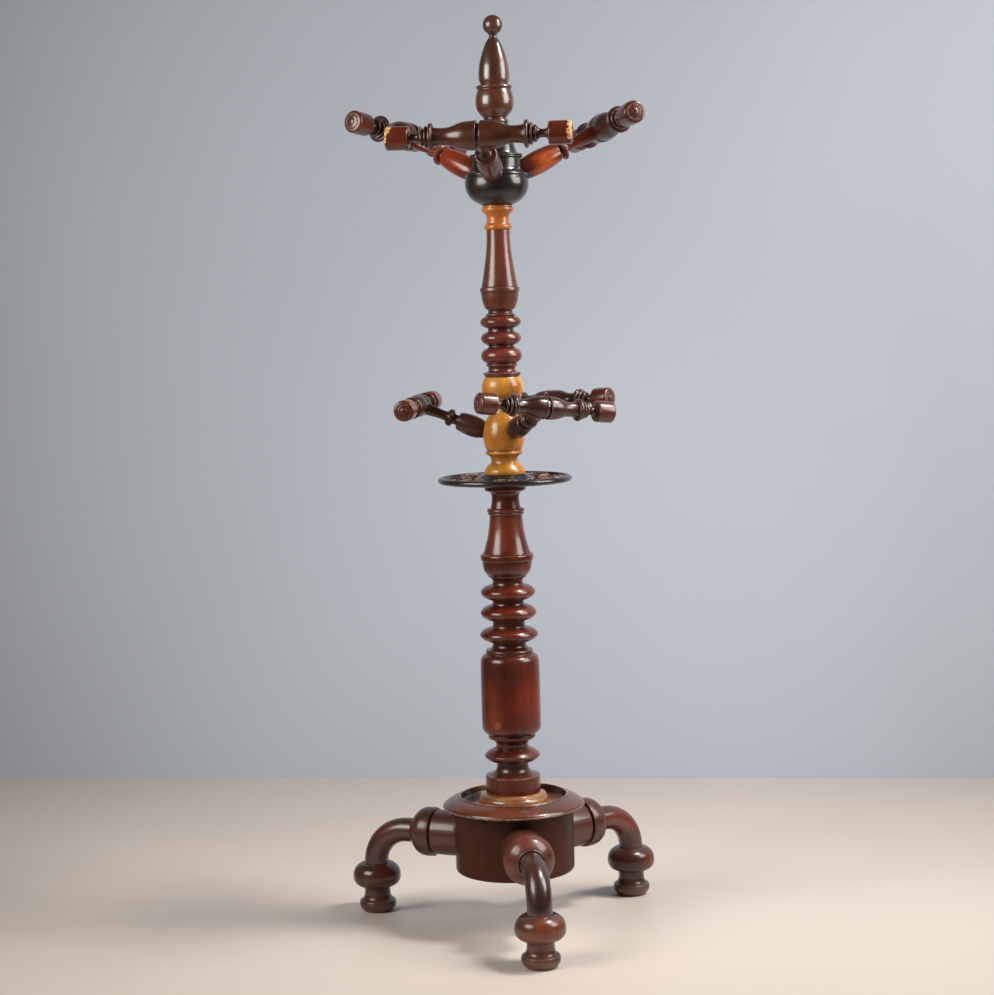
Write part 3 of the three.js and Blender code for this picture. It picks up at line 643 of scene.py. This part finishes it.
def socket():
    section = Section(0, SOCKET_START).cut((46.2, SOCKET_START))
    section.flow((47.6, 121), (48.4, 135), (48.4, 160), (47.8, 179.4))
    section.cut((46.2, 180), (46, 182), (49.6, 182.6)).round(52.6, 185.8, 6)
    section.flow((53.2, 192), (53.1, 200), (52.2, 207.5), (50.2, 213.4), (47, 218.6),
                 (43.4, 222.6), (39.4, 226.4), (34.4, 230.4), (30, 233.2))
    return turn("socket", section.round(27.4, 235.4, 4).cut((26, 234), (0, 234)), sides=BASE_SIDES)


foot_piece = foot()
socket_piece = socket()
leg_piece, bent = leg()
lying = Matrix.Rotation(math.pi / 2, 4, "Y")    # a turned piece's axis from Z to X
for side, azimuth in LEG_AZIMUTHS.items():
    swing = Matrix.Rotation(math.radians(azimuth), 4, "Z")
    bun = copy_of(foot_piece, f"turned_foot_{side}")
    grain(bun)
    settle(bun, "stand", "mahogany", foot_brown, f"foot_{side}",
           place=swing @ Matrix.Translation((LEG_SPREAD * MM, 0, 0)))
    bar = copy_of(leg_piece, f"bent_leg_{side}")
    grain(bar, bent)
    settle(bar, "stand", "mahogany", leg_brown, f"leg_{side}", place=swing)
    ring = copy_of(socket_piece, f"turned_socket_{side}")
    grain(ring)
    settle(ring, "stand", "dark_base", socket_brown, f"leg_socket_{side}",
           place=swing @ at_height(LEG_AXIS) @ lying)
for spare in (foot_piece, socket_piece, leg_piece):
    bpy.data.objects.remove(spare)


def on_column(name, section, body, slot, finish, nodes, height, bevel=0.5):
    piece = turn(name, section, bevel=bevel)
    grain(piece)
    return settle(piece, body, slot, finish, *nodes, place=at_height(height))


# Base

drum = Section(0, 15).cut((24, 15), (24, 0), (119, 0)).round(127, 8, 10)
drum.cut((127, 133.4), (126.4, 134), (0, 134))
on_column("turned_drum", drum, "stand", "dark_base", drum_brown, ["drum"], low("drum"))

lid = Section(0, 0).cut((124, 0), (149.4, 5)).round(151.4, 6.6, 4).cut((151.2, 7.6))
lid.round(149.2, 8.9, 4)
lid.flow((147.6, 11.6), (142.4, 15.6), (135.6, 19.6), (128, 22.9), (120.6, 25.2), (116.6, 26.4))
lid.cut((115, 28.4)).round(113.8, 29, 3)
lid.round(112.4, 28, 3).flow((111, 23), (109.6, 16.4), (106.4, 12.6)).cut((101, 11.7), (0, 11.7))
on_column("turned_lid", lid, "stand", "dark_base", lid_brown, ["lid"], low("lid"), bevel=0.7)

moulding = Section(0, 0).cut((72.6, 0)).round(74, 2, 5).flow((74.2, 6), (73.6, 10.4), (71.8, 14))
moulding.cut((69.8, 15.6), (69.6, 16.8))
moulding.round(68, 18.8, 5).flow((65.4, 19.6), (62.4, 21)).cut((60.6, 22.4), (0, 22.4))
on_column("turned_base_moulding", moulding, "stand", "ochre", moulding_tan, ["base_moulding"],
          low("base_moulding"))

# Lower spindle, from the plinth to the seat under the disc

SPINDLE_TOP = 658


def lens(section, neck, radius, start, end):
    """A turned ring with a rounded belly between two necks."""
    middle = start + (end - start) * 0.49
    section.flow((neck + (radius - neck) * 0.3, start + 1.2),
                 (neck + (radius - neck) * 0.78, start + (middle - start) * 0.46),
                 (radius, middle),
                 (neck + (radius - neck) * 0.76, end - (end - middle) * 0.42),
                 (neck + (radius - neck) * 0.26, end - 1.2), (neck, end), steps=5)


spindle = Section(0, -16)
spindle.cut((20, -16), (20, -4), (57.6, -4), (58.2, -3.3), (58.2, 31.6), (57.8, 32.6))
spindle.flow((52.6, 33.8), (46.6, 35.6), (41.2, 38.4), (37.4, 42), (35, 46))
spindle.flow((33.8, 50), (33.4, 53), (33.2, 58)).cut((33.6, 60.4))
spindle.flow((41, 62), (50.5, 65.6), (57, 71.4)).round(58.7, 75.2, 5).round(57, 78.4, 5)
spindle.flow((51, 84), (43, 88.6), (35.5, 91.2)).cut((34.4, 92.2))
spindle.flow((34, 95.5), (34.6, 100.4), (37.5, 105.6), (43, 110))
spindle.cut((46.6, 111.6)).round(50, 115.2, 5).cut((50.2, 119)).round(48.6, 121.4, 4)
spindle.cut((49.6, 121.8))
spindle.flow((54.6, 124), (59.2, 128), (61.8, 134), (62.6, 141))
spindle.flow((62.8, 160), (63, 210), (62.9, 252), (62.5, 275))
spindle.flow((61.2, 283), (58, 289), (52.4, 293.2)).cut((49.4, 294.2), (49, 295.4))
spindle.round(50.2, 297.6, 4).cut((50.2, 300))
spindle.round(47.8, 303.2, 5).flow((41.6, 305), (37, 308.6), (35.3, 313.4), (35.1, 318.6))
lens(spindle, 35, 61.8, 319, 351)
spindle.flow((34.2, 354), (34, 358), (34.2, 365))
lens(spindle, 34.2, 59.4, 365, 399)
spindle.flow((33.3, 402), (33.2, 405), (33.4, 409))
lens(spindle, 33.4, 57.9, 409, 442)
spindle.flow((32.2, 446), (32.2, 450)).flow((34, 454), (38.4, 457)).cut((39.8, 458))
spindle.flow((41.4, 461.2), (45, 465.4), (48.9, 471), (51.2, 478), (52.6, 488.4))
spindle.cut((52.7, 492.4), (54.4, 493.6)).round(56.1, 498, 5).cut((56.2, 502)).round(54.2, 506.6, 6)
spindle.cut((50.6, 508.6))
spindle.flow((48.8, 512.6), (45.4, 523), (42.3, 534), (39.5, 546), (37.3, 559), (35.6, 573),
             (34.6, 585), (34.3, 589.6))
spindle.cut((36.4, 590.6)).round(38.4, 593, 4).round(36.8, 595.2, 4).cut((37, 596))
spindle.round(39.6, 599.2, 5).round(37, 603.6, 5)
spindle.cut((31.6, 604.6)).flow((30.4, 612), (29.2, 621), (29.4, 630), (31.4, 636), (35.4, 639.4))
spindle.cut((38.6, 640.4))
spindle.round(43.7, 644.6, 6).cut((43.9, 652)).round(42.6, 656.6, 4)
spindle.cut((41, SPINDLE_TOP), (0, SPINDLE_TOP))
on_column("turned_lower_spindle", spindle, "stand", "mahogany", spindle_red, ["lower_spindle"],
          high("lower_spindle") - SPINDLE_TOP)

# Stick disc and the rings in its holes

RIM = 141.7
DRILL_RADIUS = 24.2
DRILL_LENGTH = 60
DRILL_HEIGHT = 8
disc_section = Section(0, 0).cut((132, 0)).round(RIM, 6.5, 8).round(135.2, 13, 8)
disc_section.round(131, 11.2, 4)
disc_section.flow((129.6, 8.2), (127, 6.4)).cut((123, 5.9), (69, 6))
disc_section.flow((64, 8.4), (57, 12.4), (51, 16.2))
disc_section.cut((48.6, 18), (0, 18))


def hole_place(i, height):
    """The place of a hole of the disc in the plan, in metres, at a height in millimetres."""
    a = math.tau * i / STICK_HOLES
    return (STICK_HOLE_PITCH * MM * math.cos(a), STICK_HOLE_PITCH * MM * math.sin(a), height * MM)


def bored_disc():
    piece = turn("turned_stick_disc", disc_section, sides=DISC_SIDES)
    grain(piece, lambda co: Vector((co.y, co.z * 4, co.x)))
    for i in range(STICK_HOLES):
        bpy.ops.object.select_all(action="DESELECT")
        bpy.ops.mesh.primitive_cylinder_add(
            vertices=HOLE_SIDES, radius=DRILL_RADIUS * MM, depth=DRILL_LENGTH * MM,
            location=hole_place(i, DRILL_HEIGHT))
        drill = bpy.context.object
        only(piece)
        hole = piece.modifiers.new("hole", "BOOLEAN")
        hole.operation, hole.solver, hole.object = "DIFFERENCE", "EXACT", drill
        bpy.ops.object.modifier_apply(modifier="hole")
        bpy.data.objects.remove(drill)
    return settle(piece, "stand", "ebonised", ebonised, "stick_disc",
                  place=at_height(low("stick_disc")))


bored_disc()

ring_section = Section(21, 0.6).cut((21.8, 0), (24, 0), (24, 6.3)).cut((26.6, 6.4))
ring_section.round(27.2, 7.8, 4)
ring_section.round(25, 10.2, 5).round(22.6, 12, 4).round(21, 10.6, 4).cut((21, 0.6))
ring_piece = turn("stick_ring", ring_section, sides=HOLE_SIDES, bevel=0.3)
for i in range(STICK_HOLES):
    liner = copy_of(ring_piece, f"turned_stick_ring_{i + 1}")
    grain(liner)
    settle(liner, "stand", "mahogany", plum, f"stick_ring_{i + 1}",
           place=Matrix.Translation(hole_place(i, low("stick_ring_1"))))
bpy.data.objects.remove(ring_piece)

# Middle hub

hub = Section(0, 0).cut((41.4, 0)).round(42.7, 2, 4)
hub.flow((42.4, 7), (40.6, 11.4), (37.2, 16), (34.2, 20))
hub.cut((31.4, 20.8), (29.2, 22.6)).flow((28, 26), (27.8, 30), (29, 34.4), (31.6, 38.4))
hub.cut((34.4, 39.8), (36.8, 41.2))
hub.round(39.4, 45, 5).round(38.2, 48, 4).cut((36.6, 48.6), (36.4, 50.2), (37.2, 51))
hub.flow((39.4, 57), (42, 65.6), (43.8, 77), (43.6, 88), (42, 99), (38.6, 109.4), (33.2, 120),
         (28, 129), (25.8, 137))
hub.flow((25, 146), (25.6, 156), (28.4, 161)).cut((30.6, 162.6))
hub.flow((37.4, 165.4), (42, 172), (43.6, 181), (42.8, 191), (39.8, 199))
on_column("turned_middle_hub", hub.cut((37.2, 204), (0, 204)), "lower_tier", "ochre", amber,
          ["middle_hub"], low("middle_hub"))

# Upper spindle

upper = Section(0, 0).cut((35, 0)).flow((36.4, 1.6), (38.4, 5), (40.4, 7.6)).round(39, 9, 4)
upper.cut((33, 9.8))
upper.flow((29.6, 12), (28.2, 16), (28.6, 20)).cut((29.8, 22), (32.4, 23)).round(32.8, 26, 4)
upper.cut((31, 27.6), (30.4, 28.8))
lens(upper, 30.2, 43.3, 29, 60)
upper.flow((27, 63.5), (27, 66.4))
lens(upper, 27.2, 42.4, 66.8, 95)
upper.flow((27, 98), (27, 101.6))
lens(upper, 27.4, 43.2, 102, 128)
upper.cut((31.4, 128.4)).round(31.6, 131, 4).cut((28, 132))
upper.flow((25.8, 134.6), (25.6, 138), (27, 141)).cut((30.4, 142))
upper.flow((32.8, 146), (35.8, 154.4), (38.2, 163), (39.6, 175)).cut((39.7, 177.4), (41, 178.4))
upper.round(41.6, 181, 4)
upper.cut((41.4, 184.6)).round(39.6, 187.6, 5).cut((38, 188.4))
upper.flow((37.2, 194), (34.1, 210.4), (31.1, 229.4), (28.9, 244.4), (27, 258.4), (25.4, 275),
           (24.5, 292), (24.5, 305.4))
upper.cut((24, 307.2), (0, 307.2))
on_column("turned_upper_spindle", upper, "stand", "mahogany", column_brown, ["upper_spindle"],
          high("middle_hub") + FIT)

ring_collar = Section(0, 0).cut((26.6, 0)).flow((28.6, 3), (29, 6), (28, 9.4)).cut((25.6, 10.2))
ring_collar.flow((24.2, 13), (23.7, 19), (23.8, 26))
ring_collar.flow((25, 30.4), (28.6, 35)).cut((31, 36.8))
ring_collar.flow((33.4, 38.6), (34.1, 42), (33.4, 45.6)).cut((31.4, 46.6), (31.2, 49.4), (0, 49.4))
on_column("turned_ring_collar", ring_collar, "stand", "ochre", burnt_orange, ["ring_collar"],
          low("ring_collar"))

# Crown and finial

crown = Section(0, 0).cut((31, 0), (32.4, 1))
crown.flow((40, 4.6), (50.5, 11.4), (59, 20.6), (64.4, 31.4), (66.6, 43), (66.4, 52), (64.9, 58.4))
crown.cut((63.6, 60), (63.8, 61.2))
crown.cut((65.4, 62)).round(65.8, 64.6, 4).cut((65, 66.4)).hollow(51.6, 83.5, 12)
crown.cut((51.2, 97), (52.4, 98.2))
crown.round(54.8, 99.8, 4).round(53.6, 101.4, 4).cut((53.2, 102)).round(55, 103.8, 4)
crown.round(53.6, 105.6, 4).cut((44.6, 107))
crown.flow((43, 110), (40.6, 117.4), (38.2, 126), (34.6, 139), (31.2, 152), (28.4, 164))
crown.cut((27.6, 169), (0, 169))
on_column("turned_crown", crown, "crown", "ebonised", ebonised, ["crown_hub"], low("crown_hub"))

cup = Section(0, 0).cut((25.6, 0)).bead(27.6, 7.6).cut((23.6, 8.8), (23.4, 10.6))
cup.flow((25.4, 12.6), (29.4, 17.4), (34, 23), (37.8, 30), (39.8, 38.4))
cup.flow((40.2, 45), (39.4, 54), (37.4, 62), (34.7, 69.6)).cut((35, 70.6))
cup.flow((37.2, 72), (38, 74.6), (37, 77.2)).cut((35, 78), (0, 78))
on_column("turned_finial_cup", cup, "crown", "mahogany", finial_brown, ["finial_cup"],
          high("crown_hub") + FIT)

BALL_RADIUS = 20.7
BALL_CENTRE = 123.9
BALL_START = -64                # degrees below level where the ball leaves its neck
BALL_STEPS = 21
drop = Section(0, 0).cut((26.6, 0)).round(28.6, 2.4, 4)
drop.flow((31, 8.4), (32.2, 17), (31.8, 29), (30.8, 39), (29, 48.5), (26.6, 58), (23.5, 68),
          (19.6, 78), (15.3, 88), (11, 94.6), (8.2, 98.4))
drop.flow((7.6, 100.4), (8.2, 103)).cut((9, 104.4))
for i in range(BALL_STEPS + 1):
    a = math.radians(BALL_START + (90 - BALL_START) * i / BALL_STEPS)
    drop.cut((max(BALL_RADIUS * math.cos(a), 0), BALL_CENTRE + BALL_RADIUS * math.sin(a)))
on_column("turned_finial_drop", drop, "crown", "mahogany", finial_brown, ["finial_drop"],
          high("finial_cup") + FIT)

# Arms: a spoke and a T-bar, each turned about its own axis

# Half a T-bar from its middle to its waist, as the length on the larger bar and the fullness
BALUSTER_LENGTH = 84
BALUSTER = ((9, 0.97), (14, 0.94), (27, 0.87), (35, 0.76), (42, 0.59), (50.5, 0.32), (58, 0.12),
            (66, 0.015), (76, 0), (BALUSTER_LENGTH, 0.055))
KNOB_BLEND = 3                  # millimetres over which the knob's colour begins


def peg_bar(name, half, centre, rim, waist, ring_start, ring, thin, knob, knob_length):
    """A T-bar, symmetric about its middle, with its length along Z."""
    side = Section(centre, 0).cut((centre, 2.6), (rim - 1.2, 3.6)).round(rim, 5.4, 4)
    stretch = (ring_start - 7.5) / BALUSTER_LENGTH
    side.flow(*((waist + (rim - waist) * full, t * stretch) for t, full in BALUSTER), steps=4)
    side.cut((waist + 2.2, ring_start - 0.8)).bead(ring, ring_start + 8.4, 0.6, 14)
    side.cut((ring * 0.7, ring_start + 9.2), (ring * 0.7, ring_start + 10.6))
    side.bead(ring * 0.8, ring_start + 15.6, 0.7, 10)
    side.cut((waist - 3, ring_start + 16.6), (waist - 2.6, ring_start + 18))
    side.bead(waist + 0.2, ring_start + 24.4, 0.7, 10)
    root = half - knob_length
    side.flow((thin + 1.4, ring_start + 29), (thin, ring_start + 34), (thin, root - 8),
              (thin + 1, root - 3.4))
    side.cut((12, root - 2.8)).round(12.6, root - 1.4, 3)
    side.cut((12.4, root - 0.4), (knob - 3.4, root))
    side.round(knob, root + 3.4, 6).flow((knob + 0.3, root + knob_length * 0.5), (knob, half - 6))
    side.round(knob - 5, half - 0.8, 7)
    side.cut((knob * 0.66, half - 0.4), (knob * 0.64, half - 1.3), (knob * 0.61, half - 1.3),
             (knob * 0.59, half - 0.2))
    side.flow((10, half + 0.3), (6.8, half + 0.6)).cut((6.4, half + 1)).round(0, half + 2.7, 7)
    mirrored = [(r, -z) for r, z in side.points[:0:-1]]
    whole = Section(*mirrored[0])
    whole.points = mirrored + side.points
    piece = turn(name, whole, sides=BAR_SIDES, bevel=0.4)
    ends = piece.data.attributes.new("knob", "FLOAT", "POINT")
    for v, end in zip(piece.data.vertices, ends.data):
        end.value = min(1, max(0, (abs(v.co.z) / MM - root + KNOB_BLEND) / KNOB_BLEND))
    blank = piece.data.attributes.new("blank", "FLOAT_VECTOR", "POINT")
    for v, spot in zip(piece.data.vertices, blank.data):
        spot.vector = v.co
    return piece


def upper_spoke():
    s = Section(0, 50).cut((15.6, 50))
    s.flow((17.6, 58), (20.4, 65), (22.4, 72), (23.9, 84), (24.7, 98), (24.7, 112), (23.6, 130),
           (21.6, 144), (20.7, 149))
    s.round(17, 152.8, 6).cut((12.8, 153.6)).flow((12.2, 156), (12.8, 159)).cut((15.6, 160))
    s.round(21, 162.6, 5).cut((23.3, 164.8), (23.5, 166))
    s.cut((22.8, 166.8)).round(16.4, 169.8, 5).cut((11.6, 171))
    s.flow((10, 175), (9.8, 184), (11, 200), (13, 212), (14.8, 222), (15.7, 234), (16, 244))
    return turn("upper_spoke", s.cut((16, 252), (0, 252)), sides=SPOKE_SIDES, bevel=0.4)


def lower_spoke():
    s = Section(0, 34).cut((14.2, 34))
    s.flow((16.4, 43), (19.4, 50), (21.6, 58), (22.6, 70), (22.3, 80), (20.8, 92), (19.4, 99))
    s.round(16, 103, 5)
    s.cut((11.8, 104)).flow((11, 108), (11.6, 113.6)).cut((14, 115)).round(17.6, 117.6, 4)
    s.cut((18.9, 119.6), (19.1, 121), (18.2, 122.4))
    s.round(12.6, 128.6, 6).cut((10.6, 130)).flow((10, 138), (10.2, 148), (11.6, 160), (12.8, 172))
    return turn("lower_spoke", s.cut((13, 180), (0, 180)), sides=SPOKE_SIDES, bevel=0.4)


LEVELS = (("upper", UPPER_ARMS, UPPER_CENTRE, UPPER_REACH, "crown"),
          ("lower", LOWER_ARMS, LOWER_CENTRE, LOWER_REACH, "lower_tier"))
bars = {
    "upper": peg_bar("upper_bar", half=186, centre=24, rim=30, waist=17.3, ring_start=91.5,
                     ring=28, thin=8.5, knob=23.5, knob_length=47),
    "lower": peg_bar("lower_bar", half=155, centre=20, rim=24, waist=15, ring_start=71,
                     ring=23, thin=8, knob=22, knob_length=40),
}
spokes = {"upper": upper_spoke(), "lower": lower_spoke()}
# spoke's and bar's finish, where they aren't both plum
arm_finish = {
    ("upper", "front"): (chestnut, chipped),
    ("upper", "right"): (spoke_red, plum),
    ("upper", "left"): (spoke_red, chestnut),
    ("lower", "left"): (chestnut, chestnut),
}
for level, arms, centre, reach, body in LEVELS:
    for side, (azimuth, rise, twist) in arms.items():
        arm = (at_height(centre) @ Matrix.Rotation(math.radians(azimuth), 4, "Z")
               @ Matrix.Rotation(math.radians(-rise), 4, "Y")
               @ Matrix.Rotation(math.radians(twist), 4, "X"))
        spoke_finish, bar_finish = arm_finish.get((level, side), (plum, plum))
        spoke = copy_of(spokes[level], f"turned_{level}_spoke_{side}")
        grain(spoke)
        settle(spoke, body, "mahogany", spoke_finish, f"{level}_spoke_{side}", place=arm @ lying)
        bar = copy_of(bars[level], f"turned_{level}_bar_{side}")
        grain(bar)
        across = Matrix.Translation((reach * MM, 0, 0)) @ Matrix.Rotation(-math.pi / 2, 4, "X")
        settle(bar, body, "mahogany", bar_finish, f"{level}_peg_bar_{side}", place=arm @ across)
for spare in (*bars.values(), *spokes.values()):
    bpy.data.objects.remove(spare)

# Screw and washer under the drum keep their frame shapes

old_steel = steel()
for node in ("base_screw", "base_washer"):
    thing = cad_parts[node]
    thing.data.materials.clear()
    thing.data.materials.append(old_steel)

# Floor and wall


def plain(name, colour, rough):
    """An even painted finish for the floor or the wall."""
    f = Finish(name)
    place = f.node("ShaderNodeTexCoord").outputs["Object"]
    cloudy = f.noise(place, 0.8, detail=2)
    fine = f.noise(place, 240.0, detail=3)
    shade = f.mix(f.span(cloudy, 0.3, 0.7),
                  tuple(c * 0.97 for c in colour), tuple(min(1, c * 1.03) for c in colour))
    f.put(f.surface.inputs["Base Color"], shade)
    f.surface.inputs["Roughness"].default_value = rough
    f.put(f.surface.inputs["Normal"], f.bump(fine, 0.05, 0.0005))
    # seen from its back it lets the view through, so that it never hides the rack
    behind = f.math("MULTIPLY", f.node("ShaderNodeNewGeometry").outputs["Backfacing"],
                    f.node("ShaderNodeLightPath").outputs["Is Camera Ray"])
    clear = f.node("ShaderNodeBsdfTransparent")
    either = f.node("ShaderNodeMixShader")
    for socket, value in zip(either.inputs, (
            behind, f.surface.outputs["BSDF"], clear.outputs["BSDF"])):
        f.put(socket, value)
    f.put(f.tree.nodes["Material Output"].inputs["Surface"], either.outputs["Shader"])
    return f.material


def stage_plane(name, size, location, rotation, finish):
    bpy.ops.object.select_all(action="DESELECT")
    bpy.ops.mesh.primitive_plane_add(size=1, location=location, rotation=rotation)
    plane = bpy.context.object
    plane.name = name
    plane.scale = (*size, 1)
    only(plane)
    bpy.ops.object.transform_apply(location=True, rotation=True, scale=True)
    plane.data.materials.append(finish)


WALL_TURN = math.radians(-7.2)
stage_plane("floor", size=(8, 3.33), location=(-0.0295, -0.2332, 0), rotation=(0, 0, WALL_TURN),
            finish=plain("pale_floor", (0.65, 0.58, 0.53), rough=0.5))
stage_plane("wall", size=(8, 3.4), location=(-0.0835, 1.441, 1.7),
            rotation=(math.pi / 2, 0, WALL_TURN),
            finish=plain("grey_wall", (0.5, 0.565, 0.665), rough=0.9))

# Light: a large soft box on either side, a small one high on the right and a dim, warm room

LAMP_COLOUR = (1.0, 0.955, 0.9)


def soft_box(name, angle, distance, height, size, power, aim=1.1, beam=180):
    """An area lamp at an angle from the front, to the right where it's positive, aimed at the
    column at the height aim. The angles are in degrees."""
    data = bpy.data.lights.new(name, "AREA")
    data.shape = "RECTANGLE"
    data.size, data.size_y = size
    data.energy = power
    data.color = LAMP_COLOUR
    data.spread = math.radians(beam)
    lamp = bpy.data.objects.new(name, data)
    bpy.context.scene.collection.objects.link(lamp)
    a = math.radians(angle)
    lamp.location = (distance * math.sin(a), -distance * math.cos(a), height)
    lamp.rotation_euler = (Vector((0, 0, aim)) - lamp.location).to_track_quat("-Z", "Y").to_euler()


soft_box("left_box", angle=-57, distance=2.4, height=2.0, size=(1.5, 1.5), power=34,
         aim=1.4, beam=125)
soft_box("right_box", angle=75, distance=2.3, height=2.1, size=(1.3, 1.5), power=58)
soft_box("high_box", angle=82, distance=1.4, height=2.8, size=(0.5, 0.5), power=10.5,
         aim=0.2, beam=80)

ROOM_LIGHT = (1.0, 0.78, 0.58, 1)
ROOM_STRENGTH = 0.07
BEYOND_THE_WALL = (0.36, 0.39, 0.44, 1)     # what the camera sees where the stage ends

world = bpy.data.worlds.new("room")
world.use_nodes = True
room = world.node_tree
dim = room.nodes["Background"]
dim.inputs["Color"].default_value = ROOM_LIGHT
dim.inputs["Strength"].default_value = ROOM_STRENGTH
seen = room.nodes.new("ShaderNodeBackground")
seen.inputs["Color"].default_value = BEYOND_THE_WALL
path = room.nodes.new("ShaderNodeLightPath")
either = room.nodes.new("ShaderNodeMixShader")
for output, socket in zip((path.outputs["Is Camera Ray"], dim.outputs[0], seen.outputs[0]),
                          either.inputs):
    room.links.new(output, socket)
room.links.new(either.outputs[0], room.nodes["World Output"].inputs["Surface"])
bpy.context.scene.world = world
bpy.context.scene.view_settings.view_transform = "Standard"

# Camera at the photograph's place; its roll takes up the photograph's lean

SENSOR_WIDTH = 36
FOCAL_LENGTH = 79.21
CAMERA_PLACE = (-0.0066, -4.6071, 1.3215)
CAMERA_AHEAD = (-0.0024, 0.9961, -0.0878)
CAMERA_UPWARD = (0.0275, 0.0878, 0.9957)

view = bpy.data.cameras.new("camera")
view.sensor_width = SENSOR_WIDTH
view.lens = FOCAL_LENGTH
camera = bpy.data.objects.new("camera", view)
bpy.context.scene.collection.objects.link(camera)
ahead = Vector(CAMERA_AHEAD).normalized()
upward = Vector(CAMERA_UPWARD).normalized()
rightward = ahead.cross(upward).normalized()
upward = rightward.cross(ahead)
camera.matrix_world = Matrix.Translation(CAMERA_PLACE) @ Matrix(
    (rightward, upward, -ahead)).transposed().to_4x4()
bpy.context.scene.camera = camera
